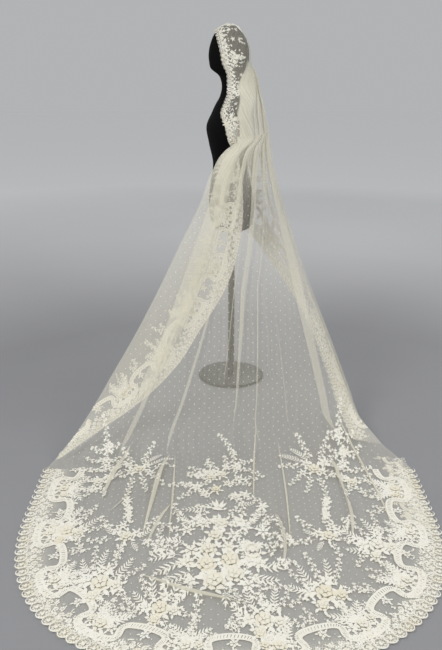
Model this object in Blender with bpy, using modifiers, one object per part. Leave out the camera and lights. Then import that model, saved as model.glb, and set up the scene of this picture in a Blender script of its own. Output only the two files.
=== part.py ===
"""Cathedral-length lace veil, worn as a mantilla on a limbless display form.

Metres, +Z up. The stand's foot is centred on the origin and everything rests on z = 0.
The form faces -X. The veil goes over its head, and its train lies on the floor toward -Y.
"""
import math

import bmesh
import bpy
import numpy as np

NET_WALL = 0.0010
LACE_WALL = 0.0012
GAP = 0.0003
CUT_GAP = 0.0005
CURLED_CUT_GAP = 0.0008
SPRAY_LIFT = NET_WALL / 2 + GAP + LACE_WALL / 2 + 0.0001
FOLD_INSET = 0.060
HEM_COLUMNS = 25
TRAIN_ROWS = 15
SPRAY_SIDES = 14

BROW_BAND = 0.090
FOLD_SHARE = 0.12
SIDE_BAND = 0.150
HEM_BAND = 0.210
SCALLOP = 0.012

HEAD_CENTRE_X = -0.014
HEAD_CENTRE_Z = 1.620
HEAD_DEPTH = 0.100
HEAD_WIDTH = 0.086
HEAD_RISE = 0.134
BROW_EDGE_X = -0.078
HOOD_TOP_SHARE = 0.30
HOOD_BOTTOM_Z = 1.270
HOOD_JOIN_Z = 1.215

TRAIN_CENTRE_X = -0.020
TRAIN_HALF_WIDTH = 0.762
TRAIN_START_Y = -1.000
TRAIN_ROUND_Y = -1.330
TRAIN_END_Y = -2.160
TRAIN_ROUNDNESS = 2.4
TRAIN_REST_Z = 0.0009
TURN_UNDER_START_Y = -0.870
TURN_UNDER_END_Y = -1.460
TURN_UNDER_LIFT = 0.0019
TURN_UNDER_WIDTH = 0.150

BASE_RADIUS = 0.170
BASE_HEIGHT = 0.014
POLE_RADIUS = 0.016
FORM_BOTTOM_Z = 0.800
FORM_SIDES = 28

# The display form, one row for each level: z, front and back of the section, its half width.
FORM_LEVELS = (
    (1.7480, -0.026, 0.000, 0.009),
    (1.7435, -0.042, 0.014, 0.020),
    (1.734, -0.058, 0.027, 0.034),
    (1.712, -0.082, 0.049, 0.052),
    (1.678, -0.099, 0.068, 0.066),
    (1.640, -0.109, 0.077, 0.073),
    (1.590, -0.109, 0.076, 0.072),
    (1.555, -0.098, 0.066, 0.062),
    (1.530, -0.066, 0.048, 0.052),
    (1.500, -0.052, 0.046, 0.051),
    (1.455, -0.052, 0.052, 0.056),
    (1.425, -0.062, 0.062, 0.090),
    (1.398, -0.078, 0.074, 0.140),
    (1.360, -0.096, 0.084, 0.166),
    (1.300, -0.122, 0.088, 0.168),
    (1.220, -0.112, 0.080, 0.150),
    (1.120, -0.092, 0.074, 0.124),
    (1.020, -0.104, 0.092, 0.150),
    (0.930, -0.112, 0.110, 0.168),
    (0.850, -0.104, 0.106, 0.164),
    (0.812, -0.090, 0.092, 0.148),
    (FORM_BOTTOM_Z, -0.070, 0.072, 0.120),
)

# The veil round neck and shoulders, one row for each level: an oval, and where its front edge is.
NECK_COLUMNS = ("z", "centre", "depth", "width", "edge")
NECK_LEVELS = (
    (HEAD_CENTRE_Z, HEAD_CENTRE_X, HEAD_DEPTH, HEAD_WIDTH, -0.050),
    (1.585, -0.013, 0.101, 0.087, -0.044),
    (1.540, -0.010, 0.112, 0.089, -0.024),
    (1.490, -0.008, 0.121, 0.097, -0.021),
    (1.450, -0.007, 0.129, 0.122, -0.022),
    (1.410, -0.008, 0.142, 0.176, -0.038),
    (1.370, -0.010, 0.154, 0.198, -0.052),
    (1.320, -0.010, 0.164, 0.206, -0.034),
    (HOOD_BOTTOM_Z, -0.010, 0.175, 0.210, -0.024),
)

# The hanging cloth, one row for each level, with the plan place of each of its long lines.
FALL_COLUMNS = (
    "z", "edge_x", "edge_y", "turn_x", "turn_y", "fold_x", "fold_y", "bulge",
    "back_x", "back_y", "far_x", "far_y", "round",
)
FALL_LEVELS = (
    (1.270, -0.024, -0.208, 0.030, -0.200, 0.060, -0.190, 0.050, 0.165, 0.000, -0.024, 0.209, 0.060),
    (1.210, -0.003, -0.196, 0.022, -0.202, -0.036, -0.258, 0.105, 0.180, -0.004, -0.016, 0.215, 0.060),
    (1.120, 0.035, -0.208, 0.010, -0.218, -0.095, -0.284, 0.120, 0.199, -0.020, -0.008, 0.222, 0.058),
    (0.980, 0.050, -0.230, -0.040, -0.258, -0.150, -0.318, 0.115, 0.237, -0.060, 0.006, 0.232, 0.056),
    (0.800, 0.036, -0.280, -0.100, -0.318, -0.243, -0.380, 0.094, 0.295, -0.125, 0.060, 0.210, 0.050),
    (0.600, -0.028, -0.368, -0.186, -0.408, -0.345, -0.460, 0.070, 0.357, -0.222, 0.210, 0.090, 0.040),
    (0.420, -0.153, -0.478, -0.300, -0.510, -0.448, -0.556, 0.062, 0.424, -0.335, 0.345, -0.080, 0.030),
    (0.280, -0.262, -0.582, -0.400, -0.606, -0.538, -0.646, 0.050, 0.482, -0.437, 0.420, -0.250, 0.022),
    (0.160, -0.420, -0.700, -0.520, -0.712, -0.617, -0.738, 0.036, 0.533, -0.545, 0.470, -0.440, 0.014),
    (0.070, -0.600, -0.818, -0.645, -0.826, -0.690, -0.840, 0.020, 0.578, -0.650, 0.500, -0.600, 0.006),
    (0.012, -0.735, -0.930, -0.745, -0.935, -0.755, -0.940, 0.006, 0.655, -0.800, 0.535, -0.760, 0.002),
)

# Pleats of the fall, one row each: place across it at the top and the bottom (0 near fold, 1 back
# line), half width in metres, how far it stands off, where it starts and ends.
PLEAT_TOP_Z = 1.2
PLEAT_WIDEST = 0.03
PLEAT_SECTION = (-1.5, -0.9, -0.45, 0.0, 0.45, 0.9, 1.5)
PLEATS = (
    (0.26, 0.115, 0.021, 0.008, 1.14, 0.20),
    (0.56, 0.405, 0.016, 0.008, 1.14, 0.05),
    (0.66, 0.545, 0.012, 0.006, 1.08, 0.03),
    (0.84, 0.785, 0.020, 0.009, 1.20, 0.03),
)
# Columns between the near fold, the pleats and the back line.
PLAIN_COLUMNS = (2, 3, 1, 2, 3)

# Ridges left in the train where it lies, one row each: from x, y, to x, y, height and half width.
RIDGES = (
    (-0.27, -0.92, -0.36, -1.34, 0.016, 0.020),
    (-0.44, -0.92, -0.50, -1.26, 0.013, 0.018),
    (0.01, -0.92, 0.09, -1.18, 0.008, 0.016),
    (0.40, -0.92, 0.43, -1.50, 0.014, 0.022),
    (0.15, -1.34, 0.16, -1.68, 0.018, 0.020),
    (-0.33, -1.72, 0.03, -1.88, 0.014, 0.024),
    (-0.20, -1.32, -0.27, -1.50, 0.012, 0.016),
)

# Bouquets on the train, one row each: middle x and y, half width, half length, lean in degrees.
SPRAYS = (
    ("spray-back", -0.050, -1.460, 0.225, 0.350, 0.0),
    ("spray-near", -0.400, -1.300, 0.110, 0.220, 4.0),
    ("spray-far", 0.330, -1.300, 0.110, 0.220, -4.0),
)

# Heights of the rows of the hanging breadths, from the hood down.
HANG_LEVELS = (
    HOOD_BOTTOM_Z - GAP, 1.245, 1.21, 1.16, 1.10, 1.02, 0.90, 0.77, 0.63, 0.50, 0.38, 0.27, 0.17, 0.09, 0.04, 0.012,
)
FLAP_ROWS = 14

FABRIC_ROUGHNESS = 0.85
NET_COLOUR = (0.62, 0.56, 0.44, 1.0)
LACE_COLOUR = (0.86, 0.82, 0.70, 1.0)
FORM_COLOUR = (0.012, 0.012, 0.013, 1.0)


def table_value(rows, columns, name, at):
    """Read one column of a table at any level, on a smooth curve through its rows."""
    levels = np.array([row[0] for row in rows])[::-1]
    values = np.array([row[columns.index(name)] for row in rows])[::-1]
    slopes = np.gradient(values, levels)
    at = np.clip(np.asarray(at, dtype=float), levels[0], levels[-1])
    index = np.clip(np.searchsorted(levels, at, side="right") - 1, 0, len(levels) - 2)
    step = levels[index + 1] - levels[index]
    t = (at - levels[index]) / step
    rise = t * t * (3 - 2 * t)
    return (
        values[index] * (1 - rise)
        + values[index + 1] * rise
        + step * t * (1 - t) * ((1 - t) * slopes[index] - t * slopes[index + 1])
    )


def smooth_step(low, high, value):
    t = np.clip((value - low) / (high - low), 0.0, 1.0)
    return t * t * (3 - 2 * t)


def neck(name, z):
    return table_value(NECK_LEVELS, NECK_COLUMNS, name, z)


def fall_line(name, z):
    return table_value(FALL_LEVELS, FALL_COLUMNS, name, z)


def hood_point(share, along):
    """Hood surface: share 0 front edge to 1 middle back, along -1 near foot over the head to 1."""
    share, along = np.broadcast_arrays(share, along)
    side = np.sign(along)
    below = np.clip((np.abs(along) - HOOD_TOP_SHARE) / (1 - HOOD_TOP_SHARE), 0, 1)
    z = HEAD_CENTRE_Z + (HOOD_BOTTOM_Z - HEAD_CENTRE_Z) * below
    turn = math.pi / 2 * np.clip(along / HOOD_TOP_SHARE, -1, 1)
    over = np.abs(along) < HOOD_TOP_SHARE
    edge_low = neck("edge", z)
    edge_top = edge_low + (BROW_EDGE_X - edge_low) * np.cos(turn)
    edge = np.where(over, edge_top, edge_low)
    centre = neck("centre", z)
    depth = neck("depth", z)
    width = neck("width", z)
    reach = np.arccos(np.clip((edge - centre) / depth, -1, 1))
    angle = reach * (1 - share)
    x = centre + depth * np.cos(angle)
    radius = np.sin(angle)
    y = np.where(over, HEAD_WIDTH * radius * np.sin(turn), side * width * radius)
    z = np.where(over, HEAD_CENTRE_Z + HEAD_RISE * radius * np.cos(turn), z)
    return np.stack([x, y, z], axis=-1)


def hood_band_share(along, band):
    """Share of the hood that a band of this width takes from its front edge."""
    below = np.clip((np.abs(along) - HOOD_TOP_SHARE) / (1 - HOOD_TOP_SHARE), 0, 1)
    z = HEAD_CENTRE_Z + (HOOD_BOTTOM_Z - HEAD_CENTRE_Z) * below
    reach = np.arccos(np.clip((neck("edge", z) - neck("centre", z)) / neck("depth", z), -1, 1))
    return band / (reach * (neck("depth", z) + neck("width", z)) / 2)


def ripple(x, y):
    """Height of the train above the floor."""
    x, y = np.broadcast_arrays(x, y)
    height = np.zeros_like(x, dtype=float)
    for x0, y0, x1, y1, rise, spread in RIDGES:
        run = np.array([x1 - x0, y1 - y0])
        length = np.hypot(*run)
        t = ((x - x0) * run[0] + (y - y0) * run[1]) / length**2
        away = ((x - x0) * run[1] - (y - y0) * run[0]) / length
        ends = smooth_step(-0.12, 0.15, t) * (1 - smooth_step(0.80, 1.15, t))
        height = height + rise * ends * np.exp(-((away / spread) ** 2))
    edge = smooth_step(0.0, 0.10, train_reach(y) - np.abs(x - TRAIN_CENTRE_X))
    doubled = smooth_step(0.36, 0.46, x) * smooth_step(TURN_UNDER_END_Y - 0.10, TURN_UNDER_END_Y + 0.02, y)
    return TRAIN_REST_Z + height * edge + TURN_UNDER_LIFT * doubled


def train_reach(y):
    """Half width of the train at a distance along the floor."""
    t = np.clip((TRAIN_ROUND_Y - y) / (TRAIN_ROUND_Y - TRAIN_END_Y), 0, 1)
    return TRAIN_HALF_WIDTH * (1 - t**TRAIN_ROUNDNESS) ** (1 / TRAIN_ROUNDNESS)


def hung_from_hood(points, share, foot):
    """Lead the top of a hanging breadth into the lower edge of the hood."""
    hood = hood_point(share, foot)
    join = smooth_step(HOOD_JOIN_Z, HOOD_BOTTOM_Z, points[..., 2])[..., None]
    plan = points[..., :2] * (1 - join) + hood[..., :2] * join
    return np.concatenate([plan, points[..., 2:]], axis=-1)


def pleat_place(pleat, z):
    """Where a pleat's middle is across the fall, and its half width there."""
    top, bottom, half_width = pleat[:3]
    reach = np.hypot(fall_line("back_x", z) - fall_line("fold_x", z), 0.12)
    middle = bottom + (top - bottom) * smooth_step(0.0, PLEAT_TOP_Z, z)
    return middle, np.minimum(half_width / reach, PLEAT_WIDEST)


def fall_point(across, z):
    """The fall's own surface: across 0 near fold to 1 back line, with its pleats standing off it."""
    across, z = np.broadcast_arrays(across, z)
    place = across.astype(float)
    stand = np.zeros_like(place)
    for pleat in PLEATS:
        depth, start_z, end_z = pleat[3:]
        middle, span = pleat_place(pleat, z)
        strength = smooth_step(start_z + 0.04, start_z - 0.16, z) * smooth_step(end_z - 0.03, end_z + 0.15, z)
        stand = stand - depth * np.exp(-2 * ((across - middle) / span) ** 2) * strength
    x = fall_line("fold_x", z) + (fall_line("back_x", z) - fall_line("fold_x", z)) * place
    y = fall_line("fold_y", z) + (fall_line("back_y", z) - fall_line("fold_y", z)) * place
    y = y - 4 * fall_line("bulge", z) * place * (1 - place) + stand
    share = FOLD_SHARE + (1 - FOLD_SHARE) * across
    return hung_from_hood(np.stack([x, y, z], axis=-1), share, -1.0)


def near_flap_point(across, z):
    """The near front breadth turned back behind the fall: 0 free edge to 1 fold."""
    across, z = np.broadcast_arrays(across, z)
    points = []
    for axis in ("x", "y"):
        edge = fall_line("edge_" + axis, z)
        turn = fall_line("turn_" + axis, z)
        fold = fall_line("fold_" + axis, z)
        control = 2 * turn - (edge + fold) / 2
        points.append((1 - across) ** 2 * edge + 2 * across * (1 - across) * control + across**2 * fold)
    share = FOLD_SHARE * across
    return hung_from_hood(np.stack([points[0], points[1], z], axis=-1), share, -1.0)


def far_flap_point(across, z):
    """The far front breadth: 0 back line, round behind the form, to 1 free edge."""
    across, z = np.broadcast_arrays(across, z)
    back = np.stack([fall_line("back_x", z), fall_line("back_y", z)], axis=-1)
    far = np.stack([fall_line("far_x", z), fall_line("far_y", z)], axis=-1)
    run = far - back
    length = np.maximum(np.linalg.norm(run, axis=-1, keepdims=True), 1e-6)
    outward = np.stack([run[..., 1], -run[..., 0]], axis=-1) / length
    swell = 4 * (fall_line("round", z) * across * (1 - across))[..., None]
    plan = back + run * across[..., None] + outward * swell
    return hung_from_hood(np.concatenate([plan, z[..., None]], axis=-1), 1 - across, 1.0)


def train_point(x, y):
    x, y = np.broadcast_arrays(x, y)
    return np.stack([x, y, ripple(x, y)], axis=-1)


def material(name, colour, roughness, metallic=0.0):
    made = bpy.data.materials.new(name)
    made.use_nodes = True
    shader = made.node_tree.nodes["Principled BSDF"]
    shader.inputs["Base Color"].default_value = colour
    shader.inputs["Roughness"].default_value = roughness
    shader.inputs["Metallic"].default_value = metallic
    return made


def finish(obj, finish_material, collection):
    for other in list(obj.users_collection):
        other.objects.unlink(obj)
    collection.objects.link(obj)
    obj.data.materials.clear()
    obj.data.materials.append(finish_material)
    obj.data.shade_smooth()
    obj.data.set_sharp_from_angle(angle=math.radians(40))
    return obj


def grid_surface(grid):
    """An open surface on a grid of points."""
    rows, columns = grid.shape[:2]
    bm = bmesh.new()
    verts = [[bm.verts.new(point) for point in row] for row in grid]
    for i in range(rows - 1):
        for j in range(columns - 1):
            bm.faces.new((verts[i][j], verts[i + 1][j], verts[i + 1][j + 1], verts[i][j + 1]))
    bmesh.ops.remove_doubles(bm, verts=bm.verts, dist=0.00005)
    bmesh.ops.dissolve_degenerate(bm, edges=bm.edges, dist=0.00005)
    bmesh.ops.recalc_face_normals(bm, faces=bm.faces)
    bmesh.ops.triangulate(bm, faces=bm.faces)
    return bm


def cloth_wall(name, bm, wall, cloth_material, collection):
    """A cloth piece: an open surface given an even wall."""
    mesh = bpy.data.meshes.new(name)
    bm.to_mesh(mesh)
    bm.free()
    obj = bpy.data.objects.new(name, mesh)
    solidify = obj.modifiers.new("wall", "SOLIDIFY")
    solidify.thickness = wall
    solidify.offset = 0.0
    solidify.use_even_offset = False
    return finish(obj, cloth_material, collection)


def sheet(name, grid, wall, cloth_material, collection):
    return cloth_wall(name, grid_surface(grid), wall, cloth_material, collection)


def loft(name, rings, skin, collection):
    """A closed solid through rings of points, with flat ends."""
    bm = bmesh.new()
    loops = [[bm.verts.new(point) for point in ring] for ring in rings]
    count = len(rings[0])
    for low, high in zip(loops, loops[1:]):
        for j in range(count):
            k = (j + 1) % count
            bm.faces.new((low[j], low[k], high[k], high[j]))
    bm.faces.new(loops[0][::-1])
    bm.faces.new(loops[-1])
    bmesh.ops.recalc_face_normals(bm, faces=bm.faces)
    mesh = bpy.data.meshes.new(name)
    bm.to_mesh(mesh)
    bm.free()
    return finish(bpy.data.objects.new(name, mesh), skin, collection)


def make_form(collection, black):
    """The limbless form: a plain head, neck, bust, waist and hips in one turned shape."""
    angle = np.arange(FORM_SIDES) * 2 * math.pi / FORM_SIDES
    rings = []
    for z, front, back, half_width in reversed(FORM_LEVELS):
        x = (front + back) / 2 + (back - front) / 2 * np.cos(angle)
        y = half_width * np.sin(angle)
        rings.append(np.stack([x, y, np.full(FORM_SIDES, z)], axis=-1))
    return loft("form-body", rings, black, collection)


def make_stand(collection, metal):
    """The round steel foot and the pole that carries the form."""
    bpy.ops.mesh.primitive_cylinder_add(
        vertices=48, radius=BASE_RADIUS, depth=BASE_HEIGHT, location=(0, 0, BASE_HEIGHT / 2)
    )
    base = bpy.context.active_object
    base.name = "stand-base"
    rim = base.modifiers.new("rim", "BEVEL")
    rim.width = 0.003
    rim.segments = 2
    finish(base, metal, collection)
    pole_bottom = BASE_HEIGHT + GAP
    pole_top = FORM_BOTTOM_Z - GAP
    bpy.ops.mesh.primitive_cylinder_add(
        vertices=24,
        radius=POLE_RADIUS,
        depth=pole_top - pole_bottom,
        location=(0, 0, (pole_top + pole_bottom) / 2),
    )
    pole = bpy.context.active_object
    pole.name = "stand-pole"
    finish(pole, metal, collection)


def hood_stations():
    """Places along the hood's arches, closer together over the head."""
    side = np.concatenate([np.linspace(0, HOOD_TOP_SHARE, 6), np.linspace(HOOD_TOP_SHARE, 1, 8)[1:]])
    return np.concatenate([-side[:0:-1], side])


def cut_columns(grid, column, gap=CUT_GAP):
    """Cut a grid along one of its columns, and part the two edges by the seam gap."""
    first = grid[:, : column + 1].copy()
    second = grid[:, column:].copy()
    over = grid[:, column + 1] - grid[:, column - 1]
    over = over / np.linalg.norm(over, axis=-1, keepdims=True)
    first[:, -1] -= over * gap / 2
    second[:, 0] += over * gap / 2
    return first, second


def make_hood(collection, net, lace):
    """The net over head and shoulders, and the border lace that edges it."""
    along = hood_stations()[:, None]
    band = hood_band_share(along, BROW_BAND)
    share = np.concatenate([band * np.linspace(0, 1, 4), band + (1 - band) * np.linspace(0, 1, 9)[1:]], axis=1)
    grid = hood_point(share, along)
    grid[:, -1, 1] = 0.0
    border, ground = cut_columns(grid, 3)
    sheet("net-hood", ground, NET_WALL, net, collection)
    sheet("lace-brow", border, LACE_WALL, lace, collection)


def pleat_columns(z):
    """Places across the fall at one level, with extra ones over each pleat."""
    places = [0.0]
    for pleat, plain in zip(PLEATS + (None,), PLAIN_COLUMNS):
        section = np.array([1.0])
        if pleat:
            middle, span = pleat_place(pleat, z)
            section = middle + span * np.array(PLEAT_SECTION)
        places += list(np.linspace(places[-1], section[0], plain + 2)[1:-1])
        places += list(section)
    return places


def make_fall(collection, net):
    """The back breadth, from the hood down to the line where it meets the train."""
    across = np.array([pleat_columns(z) for z in HANG_LEVELS])
    hanging = fall_point(across, np.array(HANG_LEVELS)[:, None])
    foot_x = TRAIN_CENTRE_X + TRAIN_HALF_WIDTH * (2 * across[-1:] - 1)
    foot = train_point(foot_x, np.full_like(foot_x, TRAIN_START_Y + GAP))
    sheet("net-fall", np.concatenate([hanging, foot]), NET_WALL, net, collection)


def flap_columns(edge_line, fold_line, levels):
    """Columns of a flap from its free edge, the first ones inside the border band."""
    gap_x = fall_line(edge_line + "_x", levels) - fall_line(fold_line + "_x", levels)
    gap_y = fall_line(edge_line + "_y", levels) - fall_line(fold_line + "_y", levels)
    band = np.clip(SIDE_BAND / np.maximum(np.hypot(gap_x, gap_y), 0.01), 0.30, 0.78)
    inner = np.linspace(0, 1, 4)[1:] * (1 - band - FOLD_INSET)
    return np.concatenate([band * np.linspace(0, 1, 4), band + inner], axis=1)


def make_flaps(collection, net, lace):
    """Both front breadths, with the border lace along their free edges."""
    z = np.array(HANG_LEVELS)[:, None]
    near = near_flap_point(flap_columns("edge", "fold", z), z)[:FLAP_ROWS]
    far = far_flap_point(1 - flap_columns("far", "back", z), z)[:FLAP_ROWS]
    for side, grid in (("near", near), ("far", far)):
        border, ground = cut_columns(grid, 3, CURLED_CUT_GAP)
        sheet(f"net-{side}-flap", ground, NET_WALL, net, collection)
        sheet(f"lace-{side}-edge", border, LACE_WALL, lace, collection)


def hem_curve(angle, inset):
    """Plan place on the rounded end, with the angle from -90 near side to 90 far side."""
    half = TRAIN_HALF_WIDTH - inset
    length = TRAIN_ROUND_Y - TRAIN_END_Y - inset
    power = 2 / TRAIN_ROUNDNESS
    x = TRAIN_CENTRE_X + np.sign(angle) * half * np.abs(np.sin(angle)) ** power
    y = TRAIN_ROUND_Y - length * np.abs(np.cos(angle)) ** power
    return x, y


def make_train(collection, net):
    """The net on the floor, inside the hem."""
    angle = np.linspace(-1, 1, HEM_COLUMNS) * math.pi / 2
    x, end = hem_curve(angle, HEM_BAND + GAP)
    down = np.linspace(0, 1, TRAIN_ROWS)[:, None]
    y = TRAIN_START_Y + (end[None, :] - TRAIN_START_Y) * down
    grid = train_point(np.broadcast_to(x[None, :], y.shape), y)
    sheet("net-train", grid, NET_WALL, net, collection)
    return grid


def make_hem(collection, lace):
    """The scalloped border round the train, in three lengths."""
    angle = np.linspace(-1, 1, HEM_COLUMNS) * math.pi / 2
    width = np.array([0.0, 0.45, 0.8, 1.0])
    rows = []
    for index, turn in enumerate(angle):
        inner = np.array(hem_curve(turn, HEM_BAND))
        outer = np.array(hem_curve(turn, SCALLOP * (index % 2)))
        rows.append([outer + (inner - outer) * share for share in 1 - width[::-1]])
    sides = {}
    for sign in (-1, 1):
        sides[sign] = []
        for index, down in enumerate(np.linspace(0, 1, TRAIN_ROWS)[:-1]):
            y = TRAIN_START_Y + (TRAIN_ROUND_Y - TRAIN_START_Y) * down
            reach = TRAIN_HALF_WIDTH - SCALLOP * (index % 2)
            outer = np.array((TRAIN_CENTRE_X + sign * reach, y))
            inner = np.array((TRAIN_CENTRE_X + sign * (TRAIN_HALF_WIDTH - HEM_BAND), y))
            sides[sign].append([outer + (inner - outer) * share for share in 1 - width[::-1]])
    plan = np.array(sides[-1] + rows + sides[1][::-1])
    grid = train_point(plan[..., 0], plan[..., 1])
    end_part = TRAIN_ROWS + 4
    near, rest = cut_columns(grid.transpose(1, 0, 2), end_part)
    back, far = cut_columns(rest, len(plan) - 1 - 2 * end_part)
    for name, part in (("near", near), ("back", back), ("far", far)):
        sheet(f"lace-hem-{name}", part, LACE_WALL, lace, collection)


def make_turn_under(collection, lace):
    """The far border, turned under the train's edge where it lies."""
    share = np.linspace(0, 1, 8)[:, None]
    y = TURN_UNDER_START_Y + (TURN_UNDER_END_Y - TURN_UNDER_START_Y) * share
    outer = TRAIN_CENTRE_X + TRAIN_HALF_WIDTH - 0.010 - 0.09 * (1 - smooth_step(0.0, 0.35, share))
    width = TURN_UNDER_WIDTH * (1 - 0.45 * share)
    x = outer - width * np.linspace(0, 1, 4)[None, :]
    grid = np.stack([x, np.broadcast_to(y, x.shape), np.full_like(x, TRAIN_REST_Z)], axis=-1)
    sheet("lace-turn-under", grid, LACE_WALL, lace, collection)


def make_sprays(collection, lace, train_grid):
    """Applied bouquets: the train's own surface cut to an oval and moved out."""
    for name, middle_x, middle_y, half_width, half_length, lean in SPRAYS:
        bm = grid_surface(train_grid)
        for side in range(SPRAY_SIDES):
            angle = (side + 0.5) * 2 * math.pi / SPRAY_SIDES
            across, along = math.sin(angle), math.cos(angle)
            turn = math.radians(lean)
            reach = math.hypot(half_width * across, half_length * along)
            normal = (
                across * half_width / reach * math.cos(turn) - along * half_length / reach * math.sin(turn),
                across * half_width / reach * math.sin(turn) + along * half_length / reach * math.cos(turn),
                0.0,
            )
            place = (middle_x + normal[0] * reach, middle_y + normal[1] * reach, 0.0)
            bmesh.ops.bisect_plane(
                bm, geom=bm.verts[:] + bm.edges[:] + bm.faces[:], plane_co=place, plane_no=normal, clear_outer=True
            )
        bm.normal_update()
        outward = [vert.normal.copy() for vert in bm.verts]
        for vert, normal in zip(bm.verts, outward):
            vert.co += normal * SPRAY_LIFT
        cloth_wall(name, bm, LACE_WALL, lace, collection)


def main():
    for obj in list(bpy.data.objects):
        bpy.data.objects.remove(obj, do_unlink=True)
    collection = bpy.data.collections.new("lace veil")
    bpy.context.scene.collection.children.link(collection)
    net = material("cotton net", NET_COLOUR, FABRIC_ROUGHNESS)
    lace = material("applied lace", LACE_COLOUR, FABRIC_ROUGHNESS)
    black = material("matt black form", FORM_COLOUR, 0.7)
    metal = material("black stand", FORM_COLOUR, 0.4)
    make_form(collection, black)
    make_stand(collection, metal)
    make_hood(collection, net, lace)
    make_fall(collection, net)
    make_flaps(collection, net, lace)
    train_grid = make_train(collection, net)
    make_hem(collection, lace)
    make_turn_under(collection, lace)
    make_sprays(collection, lace, train_grid)


main()
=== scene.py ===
# %% [markdown]
# # A long lace veil, worn as a mantilla
# The real veil is one breadth of fine cotton net, cut round at its end, with lace flowers sewn on its
# face. It goes over the head of a black display form, falls down its back in soft folds and spreads on
# the floor as a train. This lesson makes the net first, as thin folded surfaces. The lace comes after it:
# it is drawn flat, as a lacemaker draws it, and then laid on the folded net.

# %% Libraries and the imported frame
import math

import bpy
import numpy as np
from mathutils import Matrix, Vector


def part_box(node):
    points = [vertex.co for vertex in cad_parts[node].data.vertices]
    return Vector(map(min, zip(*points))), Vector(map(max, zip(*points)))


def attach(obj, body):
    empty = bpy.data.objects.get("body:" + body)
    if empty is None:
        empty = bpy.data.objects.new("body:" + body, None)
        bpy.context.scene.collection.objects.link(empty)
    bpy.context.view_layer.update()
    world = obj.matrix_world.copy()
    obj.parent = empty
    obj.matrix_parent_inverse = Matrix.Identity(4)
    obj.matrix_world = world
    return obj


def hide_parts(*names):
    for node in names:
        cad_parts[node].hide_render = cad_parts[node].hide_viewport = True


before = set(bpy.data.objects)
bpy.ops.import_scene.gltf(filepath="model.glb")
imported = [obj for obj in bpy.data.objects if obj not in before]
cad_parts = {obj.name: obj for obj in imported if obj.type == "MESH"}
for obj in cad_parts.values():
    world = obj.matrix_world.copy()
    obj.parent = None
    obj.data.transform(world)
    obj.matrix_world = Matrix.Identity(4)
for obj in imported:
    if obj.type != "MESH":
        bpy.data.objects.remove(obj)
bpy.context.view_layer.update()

# %% [markdown]
# ## Sizes
# The cloth's long lines are read from short tables, one row for each height. Between its rows a table is
# read on a smooth curve, so that a few rows give a whole sweep of cloth.

# %% Size tables
HEAD_CENTRE_X = -0.014
HEAD_CENTRE_Z = 1.620
HEAD_DEPTH = 0.100
HEAD_WIDTH = 0.086
HEAD_RISE = 0.134
BROW_EDGE_X = -0.078
HOOD_TOP_SHARE = 0.30
HOOD_BOTTOM_Z = 1.270
HOOD_JOIN_Z = 1.215
BROW_BAND = 0.090
FOLD_SHARE = 0.12
SIDE_BAND = 0.150
HEM_BAND = 0.210
FLOOR_TURN_Z = 0.012

TRAIN_CENTRE_X = -0.020
TRAIN_HALF_WIDTH = 0.762
TRAIN_START_Y = -1.000
TRAIN_ROUND_Y = -1.330
TRAIN_END_Y = -2.160
TRAIN_ROUNDNESS = 2.4
TRAIN_REST_Z = 0.0012

NECK_COLUMNS = ("z", "centre", "depth", "width", "edge")
NECK_LEVELS = (
    (HEAD_CENTRE_Z, HEAD_CENTRE_X, HEAD_DEPTH, HEAD_WIDTH, -0.050),
    (1.585, -0.013, 0.101, 0.087, -0.044),
    (1.540, -0.010, 0.112, 0.089, -0.024),
    (1.490, -0.008, 0.121, 0.097, -0.021),
    (1.450, -0.007, 0.129, 0.122, -0.022),
    (1.410, -0.008, 0.142, 0.176, -0.038),
    (1.370, -0.010, 0.154, 0.198, -0.052),
    (1.320, -0.010, 0.164, 0.206, -0.034),
    (HOOD_BOTTOM_Z, -0.010, 0.175, 0.210, -0.024),
)
FALL_COLUMNS = (
    "z", "edge_x", "edge_y", "turn_x", "turn_y", "fold_x", "fold_y", "bulge",
    "back_x", "back_y", "far_x", "far_y", "round",
)
FALL_LEVELS = (
    (1.270, -0.024, -0.208, 0.030, -0.200, 0.060, -0.190, 0.050, 0.165, 0.000, -0.024, 0.209, 0.060),
    (1.210, -0.003, -0.196, 0.022, -0.202, -0.036, -0.258, 0.105, 0.180, -0.004, -0.016, 0.215, 0.060),
    (1.120, 0.035, -0.208, 0.010, -0.218, -0.095, -0.284, 0.120, 0.199, -0.020, -0.008, 0.222, 0.058),
    (0.980, 0.050, -0.230, -0.040, -0.258, -0.150, -0.318, 0.115, 0.237, -0.060, 0.006, 0.232, 0.056),
    (0.800, 0.036, -0.280, -0.100, -0.318, -0.243, -0.380, 0.094, 0.295, -0.125, 0.060, 0.210, 0.050),
    (0.600, -0.028, -0.368, -0.186, -0.408, -0.345, -0.460, 0.070, 0.357, -0.222, 0.210, 0.090, 0.040),
    (0.420, -0.153, -0.478, -0.300, -0.510, -0.448, -0.556, 0.062, 0.424, -0.335, 0.345, -0.080, 0.030),
    (0.280, -0.262, -0.582, -0.400, -0.606, -0.538, -0.646, 0.050, 0.482, -0.437, 0.420, -0.250, 0.022),
    (0.160, -0.420, -0.700, -0.520, -0.712, -0.617, -0.738, 0.036, 0.533, -0.545, 0.470, -0.440, 0.014),
    (0.070, -0.600, -0.818, -0.645, -0.826, -0.690, -0.840, 0.020, 0.578, -0.650, 0.500, -0.600, 0.006),
    (0.012, -0.735, -0.930, -0.745, -0.935, -0.755, -0.940, 0.006, 0.655, -0.800, 0.535, -0.760, 0.002),
)

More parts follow.
